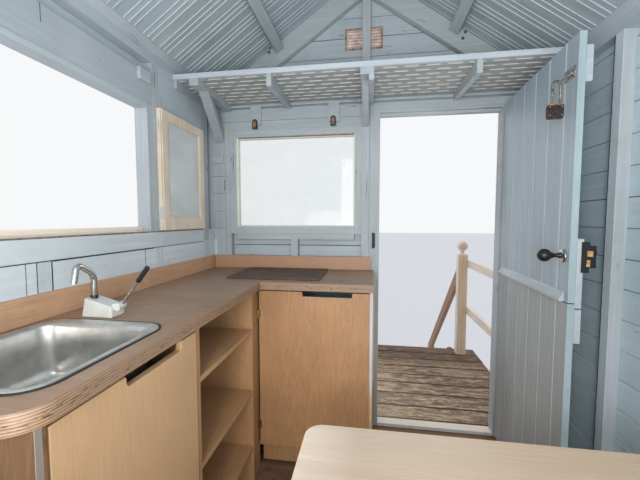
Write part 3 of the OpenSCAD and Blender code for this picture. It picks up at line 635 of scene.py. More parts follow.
WALL_PAINT = (181, 192, 199)
M = {
    "wall_x": paint("paint_wall_across", WALL_PAINT, "x", 0.55, 0.8),
    "wall_y": paint("paint_wall_along", WALL_PAINT, "y", 0.5, 0.8),
    # The door-side wall has a paler copy of the wall paint: painted light on that wall.
    "wall_r": paint("paint_wall_door_side", (196, 214, 223), "y", 0.5, 0.8),
    # The second, paler colours of the uprights and the framing are painted light.
    "post": paint("paint_upright", (176, 184, 190), "z", 0.75, 0.9, painted_light=(200, 211, 217)),
    "frame_r": paint("paint_framing", (171, 181, 187), "r", 0.6, 0.6, painted_light=(212, 221, 228)),
    "rail_x": paint("paint_rail_across", (176, 185, 190), "x", 0.6, 0.7),
    "rail_y": paint("paint_rail_along", (176, 187, 194), "y", 0.6, 0.9),
    "ledge": paint("paint_ledges", (170, 181, 188), "y", 0.5, 0.4),
    "door": paint("paint_door", (168, 184, 191), "z", 0.35, 0.25, 0.5),
    # The two leaves carry darker, greyer copies of the door paint: painted shade on their faces, deeper on
    # the lower leaf.
    "door_upper": paint("paint_door_upper", (157, 172, 183), "z", 0.35, 0.2, 0.5),
    "door_lower": paint("paint_door_lower", (155, 162, 164), "z", 0.35, 0.2, 0.5),
    # The pale paint in the door's joints is a painted highlight, standing in for lit chamfers.
    "door_vee": paint("paint_door_joints", (222, 230, 234), "z", 0.2, 0.1, 0.5),
    "door_edge": paint("paint_door_edge", (156, 175, 182), "z", 0.4, 0.3),
    # The apron paint is paler than the walls: painted light below the side window and on the door post's
    # reveal.
    "sill_paint": paint("paint_apron", (204, 214, 220), "y", 0.35, 0.35, 0.5),
    "sill_worn": paint("paint_sill_worn", (246, 232, 216), "y", 0.6, 0.6),
    "bead_pale": paint("paint_bead_and_slot_light", (226, 228, 218), "z", 0.4, 0.25),
    "white_x": paint("paint_white_across", (232, 226, 214), "x", 0.9, 0.6),
    "grey_strip": paint("strip_worn_white", (142, 134, 128), "z", 1.6, 1.0),
    "ply_door": plywood("ply_panels", (184, 142, 102), "z", 0.78, 0.8),
    "ply_sink": plywood("ply_sink_door", (200, 164, 126), "z", 0.86, 0.5, pore=0.1),
    "ply_front": plywood("ply_front_door", (187, 142, 100), "z", 0.74, 1.15, 0.42, 3.2),
    "ply_shelf": plywood("ply_shelves", (190, 150, 110), "y", 0.76, 0.8),
    "ply_top": plywood("ply_upstand", (208, 165, 131), "r", 0.78, 0.9, 0.42, 3.0, front=(176, 134, 106)),
    "end_panel": plywood("end_panel_brown", (134, 100, 70), "z", 0.55, 1.8),
    "deck": old_timber("timber_deck", (166, 137, 107), "x", 0.9, 0.85, deck=True),
    "floor": old_timber("timber_floor", (112, 82, 62), "x"),
    "sawn": old_timber("timber_under_y", (132, 116, 98), "y", 0.7),
    "sawn_z": old_timber("timber_under_z", (126, 112, 96), "z", 0.7),
    "step": old_timber("timber_steps", (128, 108, 88), "x"),
    "string": old_timber("timber_strings", (128, 112, 94), "y", 0.8),
    "sink": steel("sink_steel", 0.36, (228, 227, 224)),
    "chrome": steel("tap_chrome", 0.14, (214, 214, 212), (20, 20, 20)),
    "bare": steel("lock_steel", 0.34, (178, 180, 182), (30, 30, 30)),
    "strip": strip_material(),
    "slats": slat_material(),
    "table": table_material(),
    "posts": post_material(),
    "rails": rail_material(),
    "threshold": threshold_material(),
    "worktop": worktop_material(),
    "roof": roof_material(),
    "glass": glass_material(),
    "casement": casement_material(),
    "lid": lid_material(),
    "joint": plain("board_joint_dark", (62, 66, 66), 0.9),
    "edge_brown": plain("edge_brown", (134, 112, 98), 0.8, 0.0, 0.25, 60, 0.3),
    "seal": plain("sink_seal", (34, 34, 34), 0.6),
    "tap_white": plain("tap_body_white", (206, 208, 205), 0.3, 0.0, 0.04, 20, 0.05),
    "black": plain("handle_black", (22, 22, 23), 0.38, 0.0, 0.2, 40, 0.1),
    "iron": plain("lock_iron", (46, 45, 45), 0.55, 0.3, 0.25, 60, 0.4),
    "brass": plain("lock_brass", (176, 138, 84), 0.35, 1.0, 0.18, 60, 0.2),
    "vent": plain("vent_slats", (222, 200, 190), 0.75, 0.0, 0.14, 40, 0.4),
    "vent_edge": plain("vent_edges", (150, 128, 116), 0.8, 0.0, 0.3, 60, 0.5),
    "old_bolt": plain("bolt_old", (96, 88, 82), 0.85, 0.0, 0.4, 120, 0.8),
    "catch_dark": plain("catch_dark", (62, 52, 46), 0.6, 0.2, 0.3, 80, 0.4),
    "catch_brass": plain("catch_brass", (146, 118, 82), 0.5, 0.5, 0.3, 90, 0.4),
    "catch_grey": plain("catch_grey", (132, 112, 112), 0.7, 0.1, 0.35, 120, 0.5),
    "hasp": plain("hasp_worn", (132, 130, 130), 0.6, 0.5, 0.45, 130, 0.7),
    "shackle": plain("shackle_dull", (118, 114, 108), 0.5, 0.7, 0.5, 110, 0.5),
    "lock_brown": plain("lock_laminated", (56, 46, 44), 0.5, 0.4, 0.35, 100, 0.5),
    "lock_tan": plain("lock_bolts_tan", (190, 152, 106), 0.5, 0.3, 0.2, 90, 0.3),
    "nail": plain("nail_heads", (70, 62, 56), 0.8, 0.2, 0.3, 90, 0.3),
}


# Boards
def board_outline(lo, hi, gap, cut_lo, cut_hi):
    """Depth and height round one board, chamfered where it meets the next one."""
    c, t, a, b = 3.0, BOARD, lo + gap / 2, hi - gap / 2
    low = [(0, lo), (t, lo)] if cut_lo else [(0, a + c), (c, a), (t - c, a), (t, a + c)]
    high = [(t, hi), (0, hi)] if cut_hi else [(t, b - c), (t - c, b), (c, b), (0, b - c)]
    return low + high


def wall(name, mat, place, top, reach, holes, pitch, seam):
    """Level boards from the foot of a wall to its top, cut at its ends and round its holes."""
    sh = Shape()

    def lay(outline, start, end, mat, tone=0.0):
        sh.rings([[place(u(z), t, z) for t, z in outline] for u in (start, end)], mat, tone)

    k = math.floor((FOOT - seam) / pitch)
    while seam + k * pitch < top - 1:
        za, zb = max(FOOT, seam + k * pitch), min(top, seam + (k + 1) * pitch)
        gap = rnd.choice((0.8, 1.2, 1.6, 2.4, 3.2))
        tone = rnd.uniform(-0.6, 0.6)
        cuts = sorted({za, zb} | {z for hole in holes for z in hole[2:] if za + 2 < z < zb - 2})
        for lo, hi in zip(cuts, cuts[1:]):
            mid = (lo + hi) / 2
            board = board_outline(lo, hi, gap, lo != za or za == FOOT, hi != zb or zb == top)
            sides = [u for hole in sorted(h[:2] for h in holes if h[2] < mid < h[3]) for u in hole]
            ends = [lambda z: reach(z)[0]] + [lambda z, u=u: u for u in sides] + [lambda z: reach(z)[1]]
            for start, end in zip(ends[::2], ends[1::2]):
                if end(mid) - start(mid) < 1:
                    continue
                lay(board, start, end, 0, tone)
                if hi == zb and zb != top:
                    root, tip = zb - gap / 2 - 2, zb + 3
                    tongue = [(5, root), (10, root), (10, tip), (5, tip)]
                    lay(tongue, lambda z: start(z) + 0.5, lambda z: end(z) - 0.5, 1)
        k += 1
    make(name, sh, mat + " joint")


def gable(z):
    w = min(OUT, (RIDGE + 6.5 - z) / TAN)
    return (-w, w)


def whole_side(z):
    return (-STUD, DEPTH + STUD)


wall("wall_boards_front", "wall_x", lambda u, t, z: (u, -STUD - t, z), RIDGE - 6, gable,
     [DOORWAY, FRONT_WINDOW, VENT], 107.64, 1168.0)
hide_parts("front_wall_piers", "front_gable")
wall("wall_boards_back", "wall_x", lambda u, t, z: (u, DEPTH + STUD + t, z), RIDGE - 6, gable, [],
     110.0, 1168.0)
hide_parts("back_wall")
wall("wall_boards_door_side", "wall_r", lambda u, t, z: (-HALF - STUD - t, u, z), PLATE, whole_side, [],
     114.0, 1750.0)
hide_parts("side_walls")
wall("wall_boards_window_side", "wall_y", lambda u, t, z: (HALF + STUD + t, u, z), PLATE, whole_side,
     [SIDE_WINDOW], 112.0, 1702.0)
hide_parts("wall_bands")


def planks(sh, edges, half, z0, z1, c, gap, wander):
    """Boards across the hut between edges, each with its own gaps, height, ends and tone."""
    for a, b in zip(edges, edges[1:]):
        g = gap * rnd.uniform(0.6, 1.3) / 2
        a, b = min(a, b) + g, max(a, b) - g
        top = z1 + rnd.uniform(-wander, 0)
        ends = (-half + rnd.uniform(0, 2), half - rnd.uniform(0, 2))
        outline = [(a, z0), (b, z0), (b, top - c), (b - c, top), (a + c, top), (a, top - c)]
        sh.rings([[(x, y, z) for y, z in outline] for x in ends], 0, rnd.uniform(-0.9, 0.9))


def nail(sh, x, y, r, foot, rim, crown):
    sh.lathe([(0.1, foot), (r, foot), (r, rim), (0.1, crown)], (x, y, 0), mat=1, n=8)


DECK_EDGES = (-60, -127, -280, -439, -594, -740, -892, -1043, -1190, -1337)
DECK_TOP, DECK_FOOT = -20, -48
s = Shape()
planks(s, DECK_EDGES, 1010, DECK_FOOT, DECK_TOP, 3.5, 9.0, 1.5)
for y0, y1 in zip(DECK_EDGES[1:], DECK_EDGES[2:]):
    for x in (-965, -482.5, 0, 482.5, 965):
        for y in (y0 - 28, y1 + 28):
            nail(s, x + rnd.uniform(-5, 5), y, 4, DECK_TOP - 1.5, DECK_TOP - 0.2, DECK_TOP)
make("deck_planks", s, "deck nail")
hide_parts("deck_boards")
FLOOR_EDGES = [-STUD + (DEPTH + 2 * STUD) * i / 18 for i in range(19)]
s = Shape()
planks(s, FLOOR_EDGES, 960, -22, 0, 2.5, 3.0, 0.8)
for i in range(6):
    for k in range(9):
        nail(s, -800 + 200 * k + rnd.uniform(-4, 4), -STUD + i * (DEPTH + STUD) / 5 + 22, 3.5, -1, 0.0, 0.1)
make("floor_planks", s, "floor nail")
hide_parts("floor")

# Roof sheets: three small beads to each pitch on the room side, one broad rib outside
PITCH, FIRST_RIB = 106, 288.9
BEAD = ((-4.2, 6.0), (-3.0, 4.4), (-1.2, 3.2), (1.2, 3.2), (3.0, 4.4), (4.2, 6.0))
RIB = ((-36, 12.0), (-24, 28.0), (24, 28.0), (36, 12.0))
s = Shape()
front, back = -WALL - 120, DEPTH + WALL + 60
low, high = [(front, 6.0)], [(front, 12.0)]
y = FIRST_RIB + PITCH * math.ceil((front - FIRST_RIB + 34) / PITCH)
while y + 40 < back:
    low += [(y + d + off, h) for d in (-27, 0, 27) for off, h in BEAD]
    high += [(y + off, h) for off, h in RIB]
    y += PITCH
outline = low + [(back, 6.0), (back, 12.0)] + high[::-1]
for side in (-1, 1):
    s.rings([[(side * x, y, under_roof(x) + d / COS) for y, d in outline] for x in (1.0, OUT + 60)])
make("roof_panels", s, "roof")
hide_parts("roof_sheets")

# Flat strips that close the beads over the side plates
s = Shape()
outline = ((888, -2), (915, -2), (915, 5.5), (888, 5.5))
for side in (-1, 1):
    s.rings([[(side * x, y, under_roof(x) + d / COS) for x, d in outline] for y in (0, DEPTH)])
make("eaves_strips", s, "rail_y", bevel=1.0)


# Stable door
def door_board(sh, x0, x1, z0, z1, first, last, tone):
    """An upright board of a leaf, with a pale strip in the open joint after it, a painted highlight; the
    last one shows its edge.
    """
    a, b = (x0 if first else x0 + 0.8), (x1 if last else x1 - 0.8)
    ca, cb = (0.8 if first else 3.5), (0.8 if last else 3.5)
    y0, y1 = OUTER, OUTER + LEAF_T
    outline = [(a + ca, y0), (b - cb, y0), (b, y0 + cb), (b, y1 - cb),
               (b - cb, y1), (a + ca, y1), (a, y1 - ca), (a, y0 + ca)]
    start = len(sh.faces)
    sh.rings([[(x, y, z) for x, y in outline] for z in (z0, z1)], 0, tone)
    if not last:
        sh.box(x1 - 2.8, x1 + 2.8, y0 + 1.4, y1 - 2.6, z0 + 0.5, z1 - 0.5, 2)
        return
    for i in range(start, len(sh.faces)):
        if all(sh.verts[j][0] > b - 1 for j in sh.faces[i]):
            sh.mats[i] = 1


LEAF_EDGES = (8, 135, 249, 363, 477, 592, 668)
for name, z0, z1 in (("lower", 30, 930), ("upper", 934, 1812)):
    s = Shape()
    for x0, x1 in zip(LEAF_EDGES, LEAF_EDGES[1:]):
        first, last = x0 == LEAF_EDGES[0], x1 == LEAF_EDGES[-1]
        door_board(s, x0, x1, z0, z1, first, last, rnd.uniform(-0.35, 0.35))
    make("door_boards_" + name, s, f"door_{name} door_edge door_vee", 0.0, "door", DOOR)
    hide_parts("door_leaf_" + name)


# Fittings on the stable door, in the door's own millimetres
def fit(name, sh, mats, bevel=0.0):
    make(name, sh, mats, bevel, "door", DOOR)


def screw(sh, at, axis, r, h, mat=0):
    sh.lathe([(r, 0), (r * 0.9, h * 0.6), (r * 0.45, h)], at, axis, mat, 16)


def flap_point(u, v, w):
    """A point of the folded flap: u down its slope, v across it, w through it."""
    return (631.5 + v, OUTER - 6 - u * 0.852 + w * 0.523, 1692 - u * 0.523 - w * 0.852)


def tongue_shape(u0, u1, r):
    """Outline of half width r from u0 on, with a round end beyond u1."""
    return [(u0, -r)] + [(u1 + r * math.sin(a), -r * math.cos(a)) for a in turn(0, 180, 10)] + [(u0, r)]


s = Shape()
s.lathe([(24, 0), (24, -2), (22, -4.5), (14, -6), (11, -6.5)], (626, OUTER, 1088), "y", 0, 40)
for z in (1104, 1072):
    screw(s, (626, OUTER - 5, z), "y", 3, -1)
fit("knob_rose", s, "bare")
s = Shape()
profile = [(11, -5), (11, -9), (8, -12), (6.6, -20), (6.8, -27), (9.5, -30)]
profile += [(22.5 * math.sin(a), -56 + 22.5 * math.cos(a)) for a in turn(30, 174, 18)]
s.lathe(profile + [(0.05, -78.5)], (622, OUTER, 1089), "y", 0, 48)
fit("door_knob", s, "black")
s = Shape()
s.box(592, 654, OUTER - 3, OUTER, 1678, 1714)
for x in (604, 626, 648):
    for z in (1685, 1707):
        screw(s, (x, OUTER - 2.5, z), "y", 3.4, -1.8)
s.lathe([(3.6, 0), (3.6, 28)], (616, OUTER - 4.5, 1693), "x", 0, 20)
fit("hasp_plate", s, "hasp", 0.8)
s = Shape()
outer, gap_shade = tongue_shape(0, 36, 11.5), tongue_shape(22, 34, 4.5)
layers = ((outer, 0), (outer, 2.6), (gap_shade, 2.6), (gap_shade, 0))
s.rings([[flap_point(u, v, w) for u, v in outline] for outline, w in layers], loop=True)
fit("hasp_flap", s, "hasp", 0.6)
s = Shape()
arch = [(628, OUTER - 42 + 12 * math.cos(a), 1664 + 12 * math.sin(a)) for a in turn(0, 180, 10)]
s.tube([(628, OUTER - 30, 1596)] + arch + [(628, OUTER - 54, 1596)], 3.5, 16)
fit("padlock_shackle", s, "shackle")
s = Shape()
for k in range(9):
    z = 1552 + 5.4 * k
    e = 0.0 if 0 < k < 8 else 1.2
    s.box(617.5 + e, 636.5 - e, OUTER - 67.5 + e, OUTER - 20.5 - e, z + 0.25, z + 5.15, int(k == 8))
s.box(619.5, 634.5, OUTER - 65.5, OUTER - 22.5, 1552.4, 1600.4)
s.lathe([(6, 1550.5), (6, 1553)], (627, OUTER - 44, 0), "z", 1, 24)
for z in (1562, 1590):
    for y in (-62, -26):
        screw(s, (636.3, OUTER + y, z), "x", 2.4, 1.0, 2)
fit("padlock_body", s, "lock_brown catch_brass bare", 1.4)
s = Shape()
s.box(600, 667, INNER, INNER + 15, 1037, 1139)
s.box(606, 667, INNER + 15.2, INNER + 36, 1053, 1126)
s.box(667.2, 670.4, INNER - 8, INNER + 15, 1037, 1139)
for z in (1046, 1131):
    screw(s, (667, INNER + 7.5, z), "x", 3.6, 1.2, 1)
    screw(s, (606, INNER + 15, z), "y", 3.6, 1.2, 1)
fit("rim_lock_case", s, "black iron", 3.0)
s = Shape()
s.box(664, 675, INNER + 7, INNER + 23, 1091, 1110)
s.box(664, 671, INNER + 7, INNER + 18, 1057, 1080)
fit("rim_lock_bolts", s, "lock_tan", 1.6)
s = Shape()
s.lathe([(11, 35), (13, 37), (13, 45), (11, 47)], (640, INNER, 1102), "y", 0, 36)
fit("rim_lock_turn", s, "black", 0.6)
s = Shape()
for z in (160, 837, 1042, 1717):
    for h in (z - 20, z, z + 20):
        s.lathe([(6.2, h + 0.4), (7, h + 1), (7, h + 19), (6.2, h + 19.6)], (0, 0, 0), "z", 0, 24)
    s.box(1, 24, -3, 0.8, z - 20, z + 40)
    for dz in (-10, 10, 30):
        screw(s, (16, 0.6, z + dz), "y", 3.6, 1.2)
fit("door_hinges", s, "door", 0.7)
for n in ("knob_rose", "door_knob", "hasp_plate", "hasp_flap", "padlock_shackle", "padlock_body",
          "rim_lock_case", "rim_lock_bolts", "rim_lock_turn", "door_hinges"):
    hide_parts("door_ironwork")


# Windows
def frame_of(sh, place, u0, u1, z0, z1, side, head, foot, t0, t1, mats=(0, 1)):
    """Two stiles with a head and a foot between them, each a solid of its own."""
    a, b, gap = u0 + side, u1 - side, 0.5
    stile, rail = mats
    for left, right, lo, hi, mat in (
            (u0, a, z0, z1, stile), (b, u1, z0, z1, stile),
            (a + gap, b - gap, z1 - head, z1, rail), (a + gap, b - gap, z0, z0 + foot, rail)):
        plan = ((left, t0), (right, t0), (right, t1), (left, t1))
        sh.rings([[place(u, t, z) for u, t in plan] for z in (lo, hi)], mat, rnd.uniform(-0.4, 0.4))


def across(u, t, z):
    return (u, t, z)


s = Shape()
frame_of(s, across, *FRONT_WINDOW, 36, 36, 44, -WALL, 0)
for t0 in (-29, -50):
    frame_of(s, across, 58.5, 768.5, 1173, 1701, 9, 8, 7, t0, t0 + 11, (2, 2))
s.box(767.4, 768.45, -17.8, -0.8, 1173.2, 1700.8, 2)
s.box(58.6, 59.6, -17.8, -0.8, 1173.2, 1700.8, 2)
make("window_front", s, "post rail_x bead_pale", 2.0)
s = Shape()
frame_of(s, lambda u, t, z: (HALF + t, u, z), *SIDE_WINDOW, 37, 20, 37, 0, WALL)
make("window_side", s, "post rail_y", 2.0)
for n in ("window_front", "window_side"):
    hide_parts("window_frames")


def on_wall(u, t, z):
    return (893 + t, u, z)


s = Shape()
for y0 in (150.0, 1398.0):
    frame_of(s, on_wall, y0, y0 + 370, 1164, 1708, 42, 42, 62, 0, 22, (0, 0))
    frame_of(s, on_wall, y0 + 42, y0 + 328, 1226, 1666, 6, 6, 6, 2, 8.5, (0, 0))
for y0 in (520.05, 1389.0):
    s.box(897, 914.9, y0, y0 + 8.9, 1164, 1708)
make("casements", s, "casement", 2.0)
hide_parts("casement_frames")
s = Shape()
for pin, side in ((520, 1), (1398, -1)):
    for z in (1214, 1600):
        s.lathe([(4.6, z), (4.6, z + 56)], (903, pin + side * 6, 0), n=20)
        for x0, x1, d0, d1 in ((894, 912, 0.05, 1.8), (913.2, 914.95, 3, 28), (905, 913.4, 5, 7)):
            s.box(x0, x1, pin + side * d0, pin + side * d1, z, z + 56)
        for dz in (12, 44):
            screw(s, (913.2, pin + side * 20, z + dz), "x", 3.2, -1.0)
make("casement_hinges", s, "rail_y", 0.6)

# Apron board under the side window, with the joints of the panels below it
s = Shape()
for y0, y1 in ((0.5, 64.5), (135.5, 506.5), (507.5, 1500), (1501, 2439.5)):
    s.box(911, 914.9, y0, y1, 1091.5, 1157, 0, rnd.uniform(-0.3, 0.5))
make("sill_apron", s, "sill_paint", 1.0)
s = Shape()
for y0, y1, z0 in ((135.5, 570, 1088.5), (570, 1037, 1086), (1037, 1900, 1088)):
    s.box(914.55, 914.98, y0, y1, z0, 1091.4)
for y, w in ((1041, 1.8), (1086, 0.9), (1117, 0.8), (628, 1.2), (1640, 1.2)):
    s.box(914.55, 914.98, y - w, y + w, 984, 1090)
s.box(911.2, 914.9, 140, 1900, 1157.1, 1161.5, 1)
make("panel_joints", s, "joint edge_brown")
blocks("sill_top", "sill_worn", "white_paint", 0.4,
       (915.5, 973, 589.6, 1328.4, 1164.05, 1165.4), (954, 974, 589.6, 1328.4, 1165.5, 1182.5))

# Seams between the lining boards, the brown edge over the front window's glass, and strips of painted shade
# beside the studs of the door-side wall
s = Shape()
s.box(31, 861, 0.05, 0.6, 1792.2, 1793.6)
s.box(68.6, 758.4, -17.9, -13.6, 1696.8, 1700.9, 1)
for y, z0, z1 in ((489.6, 1731, 1768), (1038.3, 1778, 1833), (532.2, 1790, 1860)):
    s.box(914.55, 914.95, y - 0.9, y + 0.9, z0, z1)
for z in (1474.4, 1372.2, 1266.2, 1162.6):
    s.box(837, 913, 0.05, 0.5, z - 0.9, z + 0.9)
# Dark strips beside the studs of the door-side wall: painted shade where the boards meet the studs.
for k in range(4):
    y = 487 + k * (DEPTH - 487) / 3
    s.box(-914.95, -914.5, y + 0.2, y + 4.6, 47, 1890)
make("lining_seams_and_shade", s, "joint edge_brown")

# Sink
SINK_X, SINK_Y = 700.0, 1259.5


def rim_ring(inset, z, shift=0):
    """The sink's rounded outline, drawn in by inset, and by shift more on the tap's side."""
    r = 60 - inset
    x0, x1, y0, y1 = 520 + inset, 880 - inset, 1072 + inset + shift, 1447 - inset
    corners = ((x1 - r, y1 - r, 0), (x0 + r, y1 - r, 90), (x0 + r, y0 + r, 180), (x1 - r, y0 + r, 270))
    return [(cx + r * math.cos(a), cy + r * math.sin(a), z)
            for cx, cy, first in corners for a in turn(first, first + 90, 8)]


def drain_ring(r, z):
    """A circle round the drain, its points in line with those of the outline."""
    ring = []
    for x, y, _ in rim_ring(30, 0):
        far = math.hypot(x - SINK_X, y - SINK_Y)
        ring.append((SINK_X + r * (x - SINK_X) / far, SINK_Y + r * (y - SINK_Y) / far, z))
    return ring


above = [(0, 925.4), (1.2, 927.6), (4, 928), (10, 927.7), (12, 927.4, 20), (17, 926.2, 22), (20.5, 923, 22),
         (22, 918, 22), (24, 860, 21), (27, 806, 18), (32, 792, 12), (42, 783, 6), (56, 780)]
below = [(0, 925.0), (9, 924.4), (10, 916, 18), (20, 858, 18), (24, 800, 15), (30, 784, 9), (42, 777, 4),
         (56, 776)]
s = Shape()
bowl = [drain_ring(33, 775.2), drain_ring(60, 775.8)] + [rim_ring(*ring) for ring in below[::-1] + above]
bowl += [drain_ring(r, z) for r, z in ((60, 779.5), (44, 779.18), (38, 777.5), (33, 776.5))]
s.rings(bowl, smooth=True)
make("sink_bowl", s, "sink")
s = Shape()
s.lathe([(32, 777.5), (33, 779.5), (30, 780.5), (27, 779.4), (24, 778.4)], (SINK_X, SINK_Y, 0), n=40)
make("sink_drain", s, "chrome")
s = Shape()
s.rings([rim_ring(*ring) for ring in ((-6, 925.05), (-6, 926.8), (0.6, 926.8), (0.6, 925.05))], loop=True)
make("sink_edge_seal", s, "seal")
for n in ("sink_bowl", "sink_drain"):
    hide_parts("sink")

# Tap and its lever
TX, TY, TZ = 790.0, 1022.0, 925.0


def tap_slab(sh, outline, y0, y1):
    sh.rings([[(TX + x, TY + y, TZ + z) for x, z in outline] for y in (y0, y1)])


s = Shape()
tap_slab(s, [(23, 0.3), (-76, 0.3), (-76, 34), (12, 58)], -24, 29)
make("tap_housing", s, "tap_white", 5.0, segs=4)
s = Shape()
for y0, y1, tip in ((12.6, 18.4, -94), (-18.4, -12.6, -86)):
    tap_slab(s, [(tip, 26), (tip + 3, 21), (-70, 21), (-70, 40), (tip + 6, 44), (tip, 40)], y0, y1)
make("tap_fork", s, "tap_white", 1.2)
s = Shape()
s.lathe([(9.6, 48), (10.2, 53), (10.2, 62), (9.6, 63.5)], (TX, TY + 4, TZ))
make("tap_collar", s, "black", 0.5)
s = Shape()
bends = [(TX, TY + y, TZ + z) for y, z in ((4, 58), (4, 126), (59, 163), (71, 108))]
s.tube(rounded_path(bends, 20, 8), 8.6, 24)
make("tap_spout", s, "chrome", 0.8)
for n in ("tap_housing", "tap_fork", "tap_collar", "tap_spout"):
    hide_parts("tap")
LEVER = Matrix.Translation((704, TY, 958)) @ Matrix.Rotation(math.radians(-37.8), 4, "Y")
s = Shape()
s.lathe([(7.4, -12), (8, -11), (8, 11), (7.4, 12)], (0, 0, 0), "y", 0, 28)
s.lathe([(3.8, 0), (3.8, 96)], (0, 0, 0), "z", 1, 20)
make("tap_lever_rod", s, "tap_white chrome", 0.4, "pump_lever", LEVER)
s = Shape()
profile = [(6.4, 92), (7.2, 94)]
for h in range(96, 144, 6):
    profile += [(7.4, h), (6.7, h + 2.5), (7.4, h + 5)]
s.lathe(profile + [(7.2, 145), (5.8, 147.4), (0.05, 148)], (0, 0, 0), n=28)
make("tap_lever_grip", s, "black", 0.0, "pump_lever", LEVER)
for n in ("tap_lever_rod", "tap_lever_grip"):
    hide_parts("tap_lever")


# Cupboards
def slotted(u0, u1, z0, z1, s0, s1):
    """Outline of a panel with a finger slot in its top edge."""
    r = 12.0
    mid = z1 - 25 + r
    pts = [(u0, z0), (u1, z0), (u1, z1), (s1 + 3, z1), (s1, z1 - 3)]
    pts += [(s1 - r + r * math.cos(a), mid - r * math.sin(a)) for a in turn(0, 90, 6)]
    pts += [(s0 + r - r * math.sin(a), mid - r * math.cos(a)) for a in turn(0, 90, 6)]
    return pts + [(s0, z1 - 3), (s0 - 3, z1), (u0, z1)]


def butts(sh, at, heights, leaf):
    """Butt hinges, each with two knuckles round the pin and one leaf."""
    for z in heights:
        for h in (z, z + 20):
            sh.lathe([(3.8, h + 0.3), (3.8, h + 19.7)], at, "z", 1, 20)
        sh.box(*leaf, z + 1, z + 39, 1)


s = Shape()
s.rings([[(x, u, z) for u, z in slotted(996, 1447, 120, 880, 1071, 1277)] for x in (483, 501)])
butts(s, (479, 1449.5, 0), (210, 728), (479.5, 483, 1437.5, 1449))
make("cupboard_door_sink", s, "ply_sink brass", 1.4, "sink_cupboard")
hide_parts("sink_cupboard_door")
s = Shape()
s.rings([[(u, y, z) for u, z in slotted(-28, 487.5, 130, 880, 50, 280)] for y in (405, 423)])
butts(s, (491.5, 427, 0), (210, 750), (479.5, 491, 423, 426.5))
# A pale strip on the floor of the finger slot: painted light on its lip.
s.box(52, 278, 405.4, 422.6, 855.05, 856.2, 2)
make("cupboard_door_front", s, "ply_front brass bead_pale", 1.4, "front_cupboard")
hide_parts("front_cupboard_door")
blocks("end_panel_face", "end_panel", "ply", 0.4, (484.5, 914, 1470.05, 1471.2, 1, 888))
blocks("end_panel_edge", "grey_strip end_panel", "white_paint", 0.4,
       (481.6, 482.95, 1459, 1471.1, 1, 888), (481.6, 482.95, 1452.5, 1458.9, 1, 888, 1))

# Strip of the door post beside the cupboard, with a painted orange reflection, its reveal in paint paler
# for painted light, the lining behind the open casement, the rail in the corner and the board under the
# front window
blocks("post_strip", "strip", "white_paint", 0.0, (-60.2, -26, 0.05, 0.6, 22, 884),
       (-42, -28.3, 401.1, 401.9, 1, 888), (-43.0, -42.3, 15, 401.9, 1, 888))
blocks("post_reveal", "sill_paint", "paint", 0.0, (-60.8, -60.45, -44, -1, 25, 1780))
blocks("upper_lining", "wall_y", "paint", 0.0, (915.2, 927, 135.2, 506.8, 1127.5, 1891))
blocks("corner_rail", "rail_x", "paint", 1.5, (843, 914.4, 0.05, 12, 1552.1, 1600))
blocks("front_sill_rail", "rail_x", "paint", 1.5, (60, 770, -44.8, -1.5, 1097, 1128.8))

# Louvre in the gable
s = Shape()
frame_of(s, across, -91.6, 121.6, 2175, 2296.3, 12, 12, 12, -65, -45.2, (1, 1))
for k in range(7):
    z = 2181 + 16.6 * k
    blade = [(-46.2, z), (-46.2, z + 8.6), (-62.5, z + 0.6), (-62.5, max(z - 5.5, 2176.0))]
    s.rings([[(x, y, h) for y, h in blade] for x in (-79.4, 109.4)], 0, rnd.uniform(-0.5, 0.5))
# A dark sheet behind the blades: painted shade between them.
s.box(-79.4, 109.4, -57.0, -56.4, 2187, 2284, 2)
make("gable_louvre", s, "vent vent_edge joint", 0.7)
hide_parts("gable_vent")


# Posts: the three at the edge of the deck carry turned finials
def square_ring(x, y, half, z):
    c = 5.0 if half > 30 else 2.0
    e = half - c
    return [(x + a, y + b, z) for a, b in ((-half, -e), (-e, -half), (e, -half), (half, -e),
                                           (half, e), (e, half), (-e, half), (-half, e))]


def turned_post(sh, x, y, z0, z1, finial):
    rings = [square_ring(x, y, half, z) for half, z in ((40, z0), (40, z1 - 7), (38, z1 - 4), (31, z1))]
    sh.rings(rings, 0, rnd.uniform(-0.4, 0.4))
    if finial:
        neck = ((26, -2), (26, 3), (22, 6), (17, 10), (15.5, 15), (17, 20), (20, 24))
        ball = [(47.5 * math.sin(a), z1 + 72.5 - 47.5 * math.cos(a)) for a in turn(25, 178, 17)]
        sh.lathe([(r, z1 + h) for r, h in neck] + ball + [(0.05, z1 + 120)], (x, y, 0), n=48)


POST_X, STAIR_X = 869, -20
s = Shape()
for x in (-POST_X, STAIR_X, POST_X):
    turned_post(s, x, -1235, DECK_TOP, 904, True)
for x in (-POST_X, POST_X):
    turned_post(s, x, -100, DECK_TOP, 904, False)
for x in (-POST_X, STAIR_X):
    turned_post(s, x, -2607, -FLOOR_Z, -450, False)
make("veranda_posts", s, "posts")
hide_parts("balustrade_posts")


# Small things on the walls
def arch_plate(sh, x, half, z0, z1, y0, y1, mat):
    ring = [(x - half, z0), (x + half, z0)]
    ring += [(x + half * math.cos(a), z1 - half + half * math.sin(a)) for a in turn(0, 180, 12)]
    sh.rings([[(u, y, z) for u, z in ring] for y in (y0, y1)], mat)


